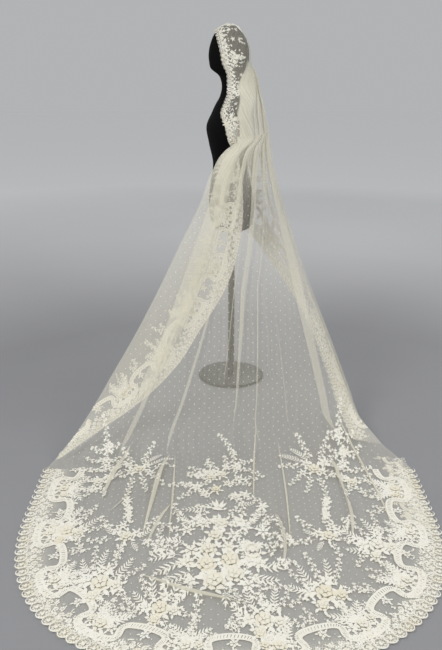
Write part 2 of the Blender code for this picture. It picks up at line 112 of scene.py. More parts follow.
# Ridges left in the train where it lies: from x, y, to x, y, height and half width.
RIDGES = (
    (-0.27, -0.92, -0.36, -1.34, 0.016, 0.020),
    (-0.44, -0.92, -0.50, -1.26, 0.013, 0.018),
    (0.01, -0.92, 0.09, -1.18, 0.008, 0.016),
    (0.40, -0.92, 0.43, -1.50, 0.014, 0.022),
    (0.15, -1.34, 0.16, -1.68, 0.018, 0.020),
    (-0.33, -1.72, 0.03, -1.88, 0.014, 0.024),
    (-0.20, -1.32, -0.27, -1.50, 0.012, 0.016),
)

# Folds of the fall: place across it (0 near fold, 1 back line) at the levels 1.15, 0.60 and 0.06, doubled
# width there in metres, how far its layers stand apart, and the levels where it starts and ends.
FOLD_READ_Z = (0.06, 0.60, 1.15)
FALL_FOLDS = (
    ((0.19, 0.190, 0.150), (0.066, 0.078, 0.022), 0.006, 1.60, 0.16),
    ((0.22, 0.190, 0.186), (0.000, 0.012, 0.026), 0.005, 0.40, 0.00),
    ((0.47, 0.372, 0.330), (0.030, 0.012, 0.018), 0.005, 1.60, 0.00),
    ((0.55, 0.500, 0.490), (0.000, 0.006, 0.004), 0.004, 0.95, 0.20),
    ((0.66, 0.560, 0.546), (0.034, 0.026, 0.006), 0.006, 1.60, 0.06),
    ((0.80, 0.655, 0.623), (0.008, 0.008, 0.008), 0.005, 1.60, 0.00),
    ((0.80, 0.760, 0.740), (0.000, 0.004, 0.005), 0.004, 0.50, 0.02),
    ((0.92, 0.925, 0.885), (0.030, 0.050, 0.034), 0.006, 1.60, 0.02),
)
# Folds of the hood: place (0 lace, 1 middle back) at four levels from crown to foot, widths, stand.
HOOD_READ = (0.0, 0.35, 0.65, 1.0)
HOOD_FOLDS = (
    ((0.62, 0.27, 0.15, 0.02), (0.050, 0.085, 0.080, 0.070), 0.006),
    ((0.72, 0.57, 0.41, 0.28), (0.000, 0.010, 0.014, 0.014), 0.004),
    ((0.80, 0.70, 0.56, 0.45), (0.000, 0.000, 0.024, 0.034), 0.005),
    ((0.86, 0.84, 0.80, 0.66), (0.000, 0.000, 0.020, 0.034), 0.006),
    ((0.90, 0.90, 0.88, 0.80), (0.000, 0.000, 0.000, 0.008), 0.005),
    ((0.95, 0.93, 0.93, 0.92), (0.016, 0.020, 0.026, 0.030), 0.006),
)
FAR_FOLDS = (
    ((0.22, 0.20, 0.22), (0.030, 0.050, 0.030), 0.006, 1.25, 0.02),
    ((0.48, 0.46, 0.45), (0.012, 0.026, 0.020), 0.005, 1.25, 0.02),
    ((0.74, 0.70, 0.70), (0.000, 0.014, 0.010), 0.004, 1.10, 0.02),
)
FOLD_TURN = 0.0022
FOLD_TAIL = 0.022

# %% Reading the tables
def smooth_step(low, high, value):
    t = np.clip((value - low) / (high - low), 0.0, 1.0)
    return t * t * (3 - 2 * t)


def table_value(rows, columns, name, at):
    """Read one column of a table at any level, on a smooth curve through its rows."""
    levels = np.array([row[0] for row in rows])[::-1]
    values = np.array([row[columns.index(name)] for row in rows])[::-1]
    slopes = np.gradient(values, levels)
    at = np.clip(np.asarray(at, dtype=float), levels[0], levels[-1])
    index = np.clip(np.searchsorted(levels, at, side="right") - 1, 0, len(levels) - 2)
    step = levels[index + 1] - levels[index]
    t = (at - levels[index]) / step
    rise = t * t * (3 - 2 * t)
    return (
        values[index] * (1 - rise)
        + values[index + 1] * rise
        + step * t * (1 - t) * ((1 - t) * slopes[index] - t * slopes[index + 1])
    )


def neck(name, z):
    return table_value(NECK_LEVELS, NECK_COLUMNS, name, z)


def fall_line(name, z):
    return table_value(FALL_LEVELS, FALL_COLUMNS, name, z)


# %% [markdown]
# ## Where the cloth goes
# Each stretch of the veil is a function that turns two numbers into a place in space. The hood is a set of
# arches over the head. The fall, the two front breadths and the train follow the tables. The same
# functions later carry the lace, so that it always lies on its net.

# %% The hood's surface
def hood_level(along):
    below = np.clip((np.abs(along) - HOOD_TOP_SHARE) / (1 - HOOD_TOP_SHARE), 0, 1)
    return HEAD_CENTRE_Z + (HOOD_BOTTOM_Z - HEAD_CENTRE_Z) * below


def hood_reach(along):
    """Length of the hood from its front edge to the middle back."""
    z = hood_level(along)
    angle = np.arccos(np.clip((neck("edge", z) - neck("centre", z)) / neck("depth", z), -1, 1))
    return angle * (neck("depth", z) + neck("width", z)) / 2


def hood_point(share, along):
    """Share 0 front edge to 1 middle back, along -1 near foot over the head to 1 far foot."""
    share, along = np.broadcast_arrays(share, along)
    z = hood_level(along)
    turn = math.pi / 2 * np.clip(along / HOOD_TOP_SHARE, -1, 1)
    over = np.abs(along) < HOOD_TOP_SHARE
    edge_low = neck("edge", z)
    edge = np.where(over, edge_low + (BROW_EDGE_X - edge_low) * np.cos(turn), edge_low)
    depth = neck("depth", z)
    reach = np.arccos(np.clip((edge - neck("centre", z)) / depth, -1, 1))
    angle = reach * (1 - share)
    radius = np.sin(angle)
    x = neck("centre", z) + depth * np.cos(angle)
    y = np.where(over, HEAD_WIDTH * radius * np.sin(turn), np.sign(along) * neck("width", z) * radius)
    z = np.where(over, HEAD_CENTRE_Z + HEAD_RISE * radius * np.cos(turn), z)
    return np.stack([x, y, z], axis=-1)


def hung_from_hood(points, share, foot):
    """Lead the top of a hanging breadth into the lower edge of the hood."""
    hood = hood_point(share, foot)
    join = smooth_step(HOOD_JOIN_Z, HOOD_BOTTOM_Z, points[..., 2])[..., None]
    plan = points[..., :2] * (1 - join) + hood[..., :2] * join
    return np.concatenate([plan, points[..., 2:]], axis=-1)


# %% The train's surface
def train_reach(y):
    t = np.clip((TRAIN_ROUND_Y - y) / (TRAIN_ROUND_Y - TRAIN_END_Y), 0, 1)
    return TRAIN_HALF_WIDTH * (1 - t**TRAIN_ROUNDNESS) ** (1 / TRAIN_ROUNDNESS)


def ripple(x, y):
    """Height of the train above the floor: its ridges, and a slight unevenness."""
    x, y = np.broadcast_arrays(x, y)
    height = np.zeros_like(x, dtype=float)
    for x0, y0, x1, y1, rise, spread in RIDGES:
        run = np.array([x1 - x0, y1 - y0])
        length = np.hypot(*run)
        t = ((x - x0) * run[0] + (y - y0) * run[1]) / length**2
        away = ((x - x0) * run[1] - (y - y0) * run[0]) / length
        ends = smooth_step(-0.12, 0.15, t) * (1 - smooth_step(0.80, 1.15, t))
        height = height + rise * ends * np.exp(-((away / spread) ** 2))
    uneven = 0.0022 * np.sin(9 * x + 4 * np.sin(5 * y)) * np.sin(7 * y + 3 * np.sin(6 * x))
    edge = smooth_step(0.0, 0.10, train_reach(y) - np.abs(x - TRAIN_CENTRE_X))
    return TRAIN_REST_Z + (height + np.maximum(uneven, 0)) * edge


def train_point(x, y):
    x, y = np.broadcast_arrays(x, y)
    return np.stack([x, y, ripple(x, y)], axis=-1)


def hem_curve(angle, inset):
    """Plan place on the train's rounded end, with the angle from -90 near side to 90 far side."""
    half = TRAIN_HALF_WIDTH - inset
    length = TRAIN_ROUND_Y - TRAIN_END_Y - inset
    power = 2 / TRAIN_ROUNDNESS
    x = TRAIN_CENTRE_X + np.sign(angle) * half * np.abs(np.sin(angle)) ** power
    y = TRAIN_ROUND_Y - length * np.abs(np.cos(angle)) ** power
    return np.stack([x, y], axis=-1)


# %% The hanging breadths' surfaces
def fall_point(place, z):
    """The fall without its folds: place 0 near fold to 1 back line, down to the floor at level 0."""
    place, z = np.broadcast_arrays(place, z)
    x = fall_line("fold_x", z) + (fall_line("back_x", z) - fall_line("fold_x", z)) * place
    y = fall_line("fold_y", z) + (fall_line("back_y", z) - fall_line("fold_y", z)) * place
    y = y - 4 * fall_line("bulge", z) * place * (1 - place)
    hanging = np.stack([x, y, np.maximum(z, FLOOR_TURN_Z)], axis=-1)
    hanging = hung_from_hood(hanging, FOLD_SHARE + (1 - FOLD_SHARE) * place, -1.0)
    foot_x = TRAIN_CENTRE_X + TRAIN_HALF_WIDTH * (2 * place - 1)
    foot = train_point(foot_x, np.full_like(place, TRAIN_START_Y))
    down = np.clip((FLOOR_TURN_Z - z) / FLOOR_TURN_Z, 0, 1)[..., None]
    return hanging * (1 - down) + foot * down


def near_flap_point(across, z):
    """The near front breadth turned back behind the fall: 0 free edge to 1 fold."""
    across, z = np.broadcast_arrays(across, z)
    plan = []
    for axis in ("x", "y"):
        edge = fall_line("edge_" + axis, z)
        fold = fall_line("fold_" + axis, z)
        control = 2 * fall_line("turn_" + axis, z) - (edge + fold) / 2
        plan.append((1 - across) ** 2 * edge + 2 * across * (1 - across) * control + across**2 * fold)
    return hung_from_hood(np.stack([*plan, z], axis=-1), FOLD_SHARE * across, -1.0)


def far_flap_point(across, z):
    """The far front breadth: 0 back line, round behind the form, to 1 free edge."""
    across, z = np.broadcast_arrays(across, z)
    back = np.stack([fall_line("back_x", z), fall_line("back_y", z)], axis=-1)
    far = np.stack([fall_line("far_x", z), fall_line("far_y", z)], axis=-1)
    run = far - back
    length = np.maximum(np.linalg.norm(run, axis=-1, keepdims=True), 1e-6)
    outward = np.stack([run[..., 1], -run[..., 0]], axis=-1) / length
    swell = 4 * (fall_line("round", z) * across * (1 - across))[..., None]
    plan = back + run * across[..., None] + outward * swell
    return hung_from_hood(np.concatenate([plan, z[..., None]], axis=-1), 1 - across, 1.0)


# %% [markdown]
# ## Folding
# A pleat of limp net is three layers of it pressed flat, and it reads as a brighter band because the eye
# looks through all three. So a fold here is a real fold: the row of points runs forward, back over itself
# and forward again, each layer a few millimetres off the one below.

# %% Helpers for lines, breadths and objects
def unit(vectors, least=1e-9):
    """Vectors of length 1, or near 0 where there is none."""
    return vectors / np.maximum(np.linalg.norm(vectors, axis=-1, keepdims=True), least)


def distance_along(line):
    """Distance from a line's first point to each of its points."""
    return np.concatenate([[0.0], np.cumsum(np.linalg.norm(np.diff(line, axis=0), axis=-1))])


def breadth_at(surface, levels):
    """Width of a hanging breadth at each level."""
    rows = surface(np.linspace(0, 1, 40)[None, :], levels[:, None])
    return np.linalg.norm(np.diff(rows, axis=1), axis=-1).sum(axis=1)


def added(name, data):
    """A new object in the scene."""
    piece = bpy.data.objects.new(name, data)
    bpy.context.scene.collection.objects.link(piece)
    return piece


# %% Folds
def folded_columns(folds, reach, spacing):
    """Place and stand-off of every column on each row. A fold is (middle, width, stand), arrays by row."""
    zero = np.zeros_like(reach)
    knots = [(zero, zero)]
    for middle, width, stand in folds:
        half = width / 2 / reach
        turn = np.minimum(half, FOLD_TURN / reach)
        knots += [
            (middle + half - turn, zero),
            (middle + half, stand * 0.5),
            (middle + half - turn, stand),
            (middle - half + turn, stand),
            (middle - half, stand * 1.5),
            (middle - half + turn, stand * 2),
            (middle + half, stand * 2),
            (middle + half + FOLD_TAIL * 0.5 / reach, stand),
            (middle + half + FOLD_TAIL / reach, zero),
        ]
    knots.append((zero + 1, zero))
    places, stands = [zero], [zero]
    for (place_a, stand_a), (place_b, stand_b) in zip(knots, knots[1:]):
        count = max(1, math.ceil(np.max(np.abs(place_b - place_a) * reach) / spacing))
        for step in range(1, count + 1):
            share = step / count
            places.append(place_a + (place_b - place_a) * share)
            stands.append(stand_a + (stand_b - stand_a) * share)
    return np.clip(np.stack(places, axis=-1), 0, 1), np.stack(stands, axis=-1)


def fold_rows(table, levels):
    """The folds of a hanging breadth, read from their table at each level."""
    folds = []
    for places, widths, stand, start_z, end_z in table:
        middle = np.interp(levels, FOLD_READ_Z, places[::-1])
        strength = smooth_step(start_z + 0.02, start_z - 0.14, levels)
        strength = strength * smooth_step(end_z, end_z + 0.08, levels)
        folds.append((middle, np.interp(levels, FOLD_READ_Z, widths[::-1]) * strength, stand * strength))
    return folds


def stood_off(surface, place, level, stand, side=1.0):
    """A folded grid: the surface's points, moved out level by their stand-off."""
    small = 0.002
    run = surface(np.clip(place + small, 0, 1), level) - surface(np.clip(place - small, 0, 1), level)
    out = unit(np.stack([run[..., 1], -run[..., 0], np.zeros_like(run[..., 0])], axis=-1))
    return surface(place, level) + out * (stand * side)[..., None]


# %% [markdown]
# ## From a grid to a sheet of net
# A sheet is a grid of points with a UV map in metres, which the weave is drawn on. Each point also has two
# numbers, for how dense the lace ground is there and how closely the net is gathered.

# %% Sheets
def net_piece(name, sheets, finish):
    """One piece of net from (grid of points, ground density, how closely gathered) rows."""
    verts, quads, weave, density, closeness = [], [], [], [], []
    for grid, ground, gather in sheets:
        rows, columns = grid.shape[:2]
        index = np.arange(rows * columns).reshape(rows, columns) + sum(len(part) for part in verts)
        corners = (index[:-1, :-1], index[1:, :-1], index[1:, 1:], index[:-1, 1:])
        quads += np.stack(corners, axis=-1).reshape(-1, 4).tolist()
        across = np.zeros((rows, columns))
        across[:, 1:] = np.cumsum(np.linalg.norm(np.diff(grid, axis=1), axis=-1), axis=1)
        across -= across[:, -1:] / 2
        down = np.zeros((rows, columns))
        down[1:] = np.cumsum(np.linalg.norm(np.diff(grid, axis=0), axis=-1).mean(axis=1))[:, None]
        verts.append(grid.reshape(-1, 3))
        weave.append(np.stack([across, down], axis=-1).reshape(-1, 2))
        density.append(np.broadcast_to(ground, (rows, columns)).ravel())
        closeness.append(np.broadcast_to(gather, (rows, columns)).ravel())
    mesh = bpy.data.meshes.new(name)
    mesh.from_pydata(np.concatenate(verts).tolist(), [], quads)
    loops = np.zeros(len(mesh.loops), dtype=np.int32)
    mesh.loops.foreach_get("vertex_index", loops)
    mesh.uv_layers.new(name="weave").data.foreach_set("uv", np.concatenate(weave)[loops].ravel())
    for attribute, values in (("ground", density), ("gather", closeness)):
        data = mesh.attributes.new(attribute, "FLOAT", "POINT").data
        data.foreach_set("value", np.concatenate(values).astype(np.float32))
    mesh.shade_smooth()
    mesh.materials.append(finish)
    area = sum(polygon.area for polygon in mesh.polygons)
    print(name, len(quads) * 2, "triangles", round(area, 3), "square metres")
    return added(name, mesh)


# %% [markdown]
# ## Shader maths as Python
# A small class stands for one socket of a material's node tree. Arithmetic on it adds Math nodes, so a
# pattern can be written as a formula.

# %% Shader sockets
class Value:
    def __init__(self, finish, socket):
        self.finish = finish
        self.socket = socket

    def math(self, operation, first, second=0.0):
        return self.finish.node("ShaderNodeMath", {"operation": operation}, {0: first, 1: second})

    def __add__(self, other):
        return self.math("ADD", self, other)

    def __sub__(self, other):
        return self.math("SUBTRACT", self, other)

    def __rsub__(self, other):
        return self.math("SUBTRACT", other, self)

    def __mul__(self, other):
        return self.math("MULTIPLY", self, other)

    def sine(self):
        return self.math("SINE", self)

    def size(self):
        return self.math("ABSOLUTE", self)

    def below(self, low, high):
        """1 under low, 0 over high, and an even slope between them."""
        sockets = {"Value": self, "From Min": low, "From Max": high, "To Min": 1.0, "To Max": 0.0}
        return self.finish.node("ShaderNodeMapRange", {"clamp": True}, sockets)

    __radd__ = __add__
    __rmul__ = __mul__


class Finish:
    """A material under construction, on its Principled shader."""

    def __init__(self, name, **constants):
        self.material = bpy.data.materials.new(name)
        self.material.use_nodes = True
        self.tree = self.material.node_tree
        self.shader = self.tree.nodes["Principled BSDF"]
        for socket, value in constants.items():
            self.shader.inputs[socket.replace("_", " ")].default_value = value

    def node(self, kind, settings=(), sockets=(), output=0):
        node = self.tree.nodes.new(kind)
        for name, value in dict(settings).items():
            setattr(node, name, value)
        for name, value in dict(sockets).items():
            if isinstance(value, Value):
                self.tree.links.new(value.socket, node.inputs[name])
            else:
                node.inputs[name].default_value = value
        return Value(self, node.outputs[output])

    def feed(self, socket, value):
        self.tree.links.new(value.socket, self.shader.inputs[socket])

    def place(self):
        return self.node("ShaderNodeTexCoord", output="Object")

    def noise(self, scale, vector, detail=2.0):
        return self.node("ShaderNodeTexNoise", (), {"Vector": vector, "Scale": scale, "Detail": detail})

    def mix(self, factor, first, second):
        sockets = {0: factor, 6: first, 7: second}
        return self.node("ShaderNodeMix", {"data_type": "RGBA"}, sockets, 2)

    def bump(self, height, strength, distance):
        sockets = {"Height": height, "Strength": strength, "Distance": distance}
        self.feed("Normal", self.node("ShaderNodeBump", (), sockets))


# %% [markdown]
# ## The net
# Cotton net lets most of the light through, and its threads are much finer than a pixel of a picture of
# the whole veil. Its alpha is a diamond lattice of threads over a low, even film. Along the edges the lace
# ground is denser: irregular bars between the flowers, which are drawn as the borders of Voronoi cells.

# %% Net finish
NET_ECRU = (0.84, 0.82, 0.72, 1.0)
NET_AGED = (0.76, 0.72, 0.57, 1.0)
GROUND_IVORY = (0.84, 0.81, 0.71, 1.0)
THREAD_PITCH = 0.0034
NET_OPEN = 0.13
NET_THREAD = 0.22
GROUND_CELL = 0.0075
GROUND_COVER = 0.62
GATHER_COVER = 0.34
STREAK_COVER = 0.16
# Streaks for each metre across the net and along it, where it is drawn tight.
STREAKS = (110.0, 1.6, 0.0)
# Painted glow: net and lace give off a little light in their own colour, standing in for the light that thin
# threads let through.
PAINTED_GLOW = 0.08


def glowing_cloth_finish(name, roughness, colour):
    """A finish for thin cloth, with a painted glow in its own colour that stands in for light from behind it.
    """
    return Finish(name, Roughness=roughness, Emission_Color=colour, Emission_Strength=PAINTED_GLOW)


def make_net_finish():
    # The net gets the painted glow.
    net = glowing_cloth_finish("ecru cotton net", 0.85, NET_ECRU)
    weave = net.node("ShaderNodeUVMap", {"uv_map": "weave"})
    parts = net.node("ShaderNodeSeparateXYZ", (), {0: weave})
    u = Value(net, parts.socket.node.outputs[0])
    v = Value(net, parts.socket.node.outputs[1])
    turn = math.pi / THREAD_PITCH
    lattice = (((u + v) * turn).sine() * ((u - v) * turn).sine()).size()
    threads = lattice.below(0.05, 0.55)
    cells = net.node(
        "ShaderNodeTexVoronoi",
        {"feature": "DISTANCE_TO_EDGE", "voronoi_dimensions": "2D"},
        {"Vector": weave, "Scale": 1 / GROUND_CELL},
    )
    bars = cells.below(0.10, 0.26)
    ground = net.node("ShaderNodeAttribute", {"attribute_name": "ground"}, (), "Fac")
    cloud = net.noise(3.0, net.place())
    gather = net.node("ShaderNodeAttribute", {"attribute_name": "gather"}, (), "Fac")
    drawn = net.node("ShaderNodeVectorMath", {"operation": "MULTIPLY"}, {0: weave, 1: STREAKS})
    streak = net.noise(1.0, drawn)
    close = gather * GATHER_COVER * (0.45 + streak * 1.1)
    lace_ground = ground * bars * GROUND_COVER
    uneven = cloud * 0.05 + (streak - 0.5) * STREAK_COVER
    net.feed("Alpha", NET_OPEN + threads * NET_THREAD + lace_ground + close + uneven)
    net.feed("Base Color", net.mix(ground, net.mix(cloud, NET_ECRU, NET_AGED), GROUND_IVORY))
    return net.material


NET = make_net_finish()

# %% Lace finish
LACE_IVORY = (0.86, 0.84, 0.76, 1.0)
LACE_CREAM = (0.80, 0.74, 0.57, 1.0)


def make_lace_finish():
    # The lace gets the painted glow too.
    lace = glowing_cloth_finish("ivory applied lace", 0.8, LACE_IVORY)
    place = lace.place()
    tint = lace.node("ShaderNodeAttribute", {"attribute_name": "tint"}, (), "Fac")
    cloud = lace.noise(5.0, place)
    lace.feed("Base Color", lace.mix(tint * cloud * 1.6, LACE_IVORY, LACE_CREAM))
    lace.bump(lace.noise(900.0, place), 0.5, 0.0006)
    return lace.material


LACE = make_lace_finish()

# %% [markdown]
# ## The sheets of net
# Five sheets stand for the veil: hood, fall, near and far front breadths, and train. Their edges meet, so
# that the veil reads as one cloth.

# %% Hood
COLUMN_SPACING = 0.009
FALL_SPACING = 0.010
# How dense the lace ground is in the hood's band and in the side bands, and how closely net is gathered.
BROW_GROUND = 0.15
SIDE_GROUND = 0.60
GATHER = 0.9
FOOT_GATHER = 0.7


def band_ground(distance, band):
    """Density of the lace ground by distance from a free edge."""
    return 1 - smooth_step(band * 0.20, band * 0.62, distance)


along = np.linspace(1, -1, 161)
start = BROW_BAND / hood_reach(-1.0)
below = np.clip((np.abs(along) - HOOD_TOP_SHARE) / (1 - HOOD_TOP_SHARE), 0, 1)
strength = smooth_step(0.02, 0.30, below) * np.where(along > 0, 1 - smooth_step(0.60, 0.97, below), 1.0)
hood_folds = []
for places, widths, stand in HOOD_FOLDS:
    middle = start + (1 - start) * np.interp(below, HOOD_READ, places)
    hood_folds.append((middle, np.interp(below, HOOD_READ, widths) * strength, stand * strength))
reach = hood_reach(along)
share, stand = folded_columns(hood_folds, reach, COLUMN_SPACING)
side = -np.sign(along)[:, None] * np.ones_like(share)
hood_grid = stood_off(hood_point, share, along[:, None], stand, side)
# Net behind the first fold is gathered. Near the foot the whole hood comes to look like the breadths below.
fold_start = hood_folds[0][0] - hood_folds[0][1] / reach / 2
gather_down = smooth_step(0.12, 0.45, below)[:, None]
hood_gather = smooth_step(fold_start - 0.02, fold_start + 0.04, share.T).T * gather_down
hood_gather = np.maximum(hood_gather, FOOT_GATHER * smooth_step(0.66, 1.0, below)[:, None])
to_side = smooth_step(0.70, 0.98, below)[:, None]
band = BROW_BAND + (SIDE_BAND - BROW_BAND) * to_side
ground = BROW_GROUND + (SIDE_GROUND - BROW_GROUND) * to_side
hood_ground = ground * band_ground(share * reach[:, None], band)
veil_hood = net_piece("veil-hood", [(hood_grid, hood_ground, GATHER * hood_gather)], NET)

# %% Fall
levels = np.concatenate([np.linspace(HOOD_BOTTOM_Z, 0.10, 118), np.linspace(0.10, FLOOR_TURN_Z, 14)[1:],
                         np.linspace(FLOOR_TURN_Z, 0.0, 12)[1:]])
breadth = np.hypot(fall_line("back_x", levels) - fall_line("fold_x", levels), 2 * fall_line("bulge", levels))
breadth = np.maximum(breadth, 0.20)
place, stand = folded_columns(fold_rows(FALL_FOLDS, levels), breadth, FALL_SPACING)
fall_grid = stood_off(fall_point, place, levels[:, None], stand)
veil_fall = net_piece("veil-fall", [(fall_grid, 0.0, GATHER * smooth_step(0.92, 1.24, levels)[:, None])], NET)

# %% Near and far front breadths
levels = np.concatenate([np.linspace(HOOD_BOTTOM_Z, 0.10, 100), np.linspace(0.10, FLOOR_TURN_Z, 10)[1:]])
across = np.linspace(0, 1, 40)[None, :]
near_grid = near_flap_point(across, levels[:, None])
near_breadth = breadth_at(near_flap_point, levels)[:, None]
near_ground = SIDE_GROUND * band_ground(across * near_breadth, SIDE_BAND)
veil_near = net_piece("veil-near-front", [(near_grid, near_ground, 0.0)], NET)
far_breadth = breadth_at(far_flap_point, levels)
place, stand = folded_columns(fold_rows(FAR_FOLDS, levels), np.maximum(far_breadth, 0.05), COLUMN_SPACING)
far_grid = stood_off(far_flap_point, place, levels[:, None], stand)
far_ground = SIDE_GROUND * band_ground((1 - place) * far_breadth[:, None], SIDE_BAND)
veil_far = net_piece("veil-far-front", [(far_grid, far_ground, 0.0)], NET)

# %% Train
TRAIN_COLUMNS = 170
hem_angle = np.linspace(-1, 1, TRAIN_COLUMNS) * math.pi / 2
outer = hem_curve(hem_angle, 0.002)
down = np.linspace(0, 1, 120)[:, None]
x = np.broadcast_to(outer[None, :, 0], (120, TRAIN_COLUMNS))
y = TRAIN_START_Y + (outer[None, :, 1] - TRAIN_START_Y) * down
edge_distance = np.minimum(train_reach(y) - np.abs(x - TRAIN_CENTRE_X), y - outer[None, :, 1])
train_ground = band_ground(edge_distance, HEM_BAND)
veil_train = net_piece("veil-train", [(train_point(x, y), train_ground, 0.0)], NET)

# %% [markdown]
# ## Lace, drawn flat
# Lace flowers are made one by one and then sewn to the net. Here each kind of flower, leaf and stem is a
# small flat mesh of a few dozen faces. A Geometry Nodes tree sets them out from a list of places: it puts
# one on each point, turned and sized, and makes the lot one mesh.

# %% Motifs
def fan(points, rise, base=0.0):
    """Triangles from a raised middle to an outline."""
    outline = [(x, y, base) for x, y in points]
    middle = np.mean(np.array(outline), axis=0)
    verts = [(middle[0], middle[1], base + rise)] + outline
    count = len(outline)
    return verts, [(0, 1 + i, 1 + (i + 1) % count) for i in range(count)]


def joined(parts):
    verts, faces = [], []
    for part_verts, part_faces in parts:
        faces += [tuple(index + len(verts) for index in face) for face in part_faces]
        verts += part_verts
    return verts, faces


def petal(middle_turn, low, high, spread, base):
    """One petal between two radii, rounded outside."""
    outline = []
    for turn, radius in ((-0.42, low), (-0.5, high * 0.84), (0.0, high), (0.5, high * 0.84), (0.42, low)):
        angle = middle_turn + turn * spread
        outline.append((radius * math.cos(angle), radius * math.sin(angle)))
    return fan(outline, 0.12, base)


def ring(low, high, sides, base):
    verts, faces = [], []
    for i in range(sides):
        turn = 2 * math.pi * i / sides
        verts += [(low * math.cos(turn), low * math.sin(turn), base + 0.08)]
        verts += [(high * math.cos(turn), high * math.sin(turn), base)]
        a, b = 2 * i, 2 * ((i + 1) % sides)
        faces.append((a, a + 1, b + 1, b))
    return verts, faces


def flower_motif(petal_rings, plain_rings):
    """Rings of petals (count, inner and outer radius, share filled), and plain rings (radii, sides)."""
    parts = []
    for index, (count, low, high, filled) in enumerate(petal_rings):
        spread = 2 * math.pi / count * filled
        for i in range(count):
            parts.append(petal(2 * math.pi * (i + index * 0.5) / count, low, high, spread, 0.14 * index))
    parts += [ring(low, high, sides, 0.2) for low, high, sides in plain_rings]
    return joined(parts)


LEAF_OUTLINE = ((0.0, 0.0), (0.25, -0.42), (0.60, -0.40), (1.0, 0.0), (0.60, 0.40), (0.25, 0.42))
MOTIFS = {
    "bar": ([(0, -0.5, 0), (1, -0.5, 0), (1, 0.5, 0), (0, 0.5, 0)], [(0, 1, 2, 3)]),
    "daisy": flower_motif([(6, 0.22, 1.0, 0.86)], [(0.0, 0.24, 6)]),
    "dot": fan([(math.cos(i * math.pi / 3), math.sin(i * math.pi / 3)) for i in range(6)], 0.2),
    "leaf": fan(LEAF_OUTLINE, 0.1),
    "rose": flower_motif([(7, 0.58, 1.0, 0.94), (5, 0.20, 0.66, 0.98)], [(0.0, 0.17, 6)]),
    "wheel": flower_motif([(8, 0.36, 0.78, 0.82)], [(0.84, 1.0, 14), (0.0, 0.28, 6)]),
}
KINDS = sorted(MOTIFS)
motif_box = bpy.data.collections.new("motifs")
bpy.context.scene.collection.children.link(motif_box)
for kind in KINDS:
    motif_mesh = bpy.data.meshes.new(kind)
    motif_mesh.from_pydata(MOTIFS[kind][0], [], MOTIFS[kind][1])
    motif_box.objects.link(bpy.data.objects.new(kind, motif_mesh))
    print("motif", kind, len(MOTIFS[kind][1]), "faces")


# %% Setting-out tree
def make_setting_tree():
    tree = bpy.data.node_groups.new("set out lace", "GeometryNodeTree")
    outside = tree.interface
    outside.new_socket("Geometry", in_out="OUTPUT", socket_type="NodeSocketGeometry")
    outside.new_socket("Geometry", in_out="INPUT", socket_type="NodeSocketGeometry")
    outside.new_socket("Motifs", in_out="INPUT", socket_type="NodeSocketCollection")
    outside.new_socket("Finish", in_out="INPUT", socket_type="NodeSocketMaterial")
    given = tree.nodes.new("NodeGroupInput")
    given_end = tree.nodes.new("NodeGroupOutput")
    attributes = {}
    for name, data_type in (("kind", "INT"), ("turn", "FLOAT"), ("size", "FLOAT_VECTOR")):
        node = tree.nodes.new("GeometryNodeInputNamedAttribute")
        node.data_type = data_type
        node.inputs["Name"].default_value = name
        attributes[name] = node.outputs["Attribute"]
    motifs = tree.nodes.new("GeometryNodeCollectionInfo")
    motifs.inputs["Separate Children"].default_value = True
    motifs.inputs["Reset Children"].default_value = True
    turned = tree.nodes.new("ShaderNodeCombineXYZ")
    place = tree.nodes.new("GeometryNodeInstanceOnPoints")
    place.inputs["Pick Instance"].default_value = True
    real = tree.nodes.new("GeometryNodeRealizeInstances")
    paint = tree.nodes.new("GeometryNodeSetMaterial")
    for source, target in (
        (given.outputs["Geometry"], place.inputs["Points"]),
        (given.outputs["Motifs"], motifs.inputs["Collection"]),
        (motifs.outputs["Instances"], place.inputs["Instance"]),
        (attributes["kind"], place.inputs["Instance Index"]),
        (attributes["turn"], turned.inputs["Z"]),
        (turned.outputs["Vector"], place.inputs["Rotation"]),
        (attributes["size"], place.inputs["Scale"]),
        (place.outputs["Instances"], real.inputs["Geometry"]),
        (real.outputs["Geometry"], paint.inputs["Geometry"]),
        (given.outputs["Finish"], paint.inputs["Material"]),
        (paint.outputs["Geometry"], given_end.inputs["Geometry"]),
    ):
        tree.links.new(source, target)
    return tree


SETTING_TREE = make_setting_tree()
SETTING_INPUTS = {
    item.name: item.identifier
    for item in SETTING_TREE.interface.items_tree
    if item.item_type == "SOCKET" and item.in_out == "INPUT"
}


# %% Laying flat lace on its net
TINTS = {"rose": (0.45, 1.0), "wheel": (0.1, 0.7), "leaf": (0.0, 0.35), "bar": (0.2, 0.4)}
# Motifs that overlap lie in turn on thin layers, as sewn-on pieces do.
LAYER = 0.00007
LAYERS = 11


def laid(surface, u, v, lift):
    """Points on a surface, moved out along its normal."""
    small = 0.0015
    du = surface(u + small, v) - surface(u - small, v)
    dv = surface(u, v + small) - surface(u, v - small)
    return surface(u, v) + unit(np.cross(du, dv), 1e-12) * lift[..., None]


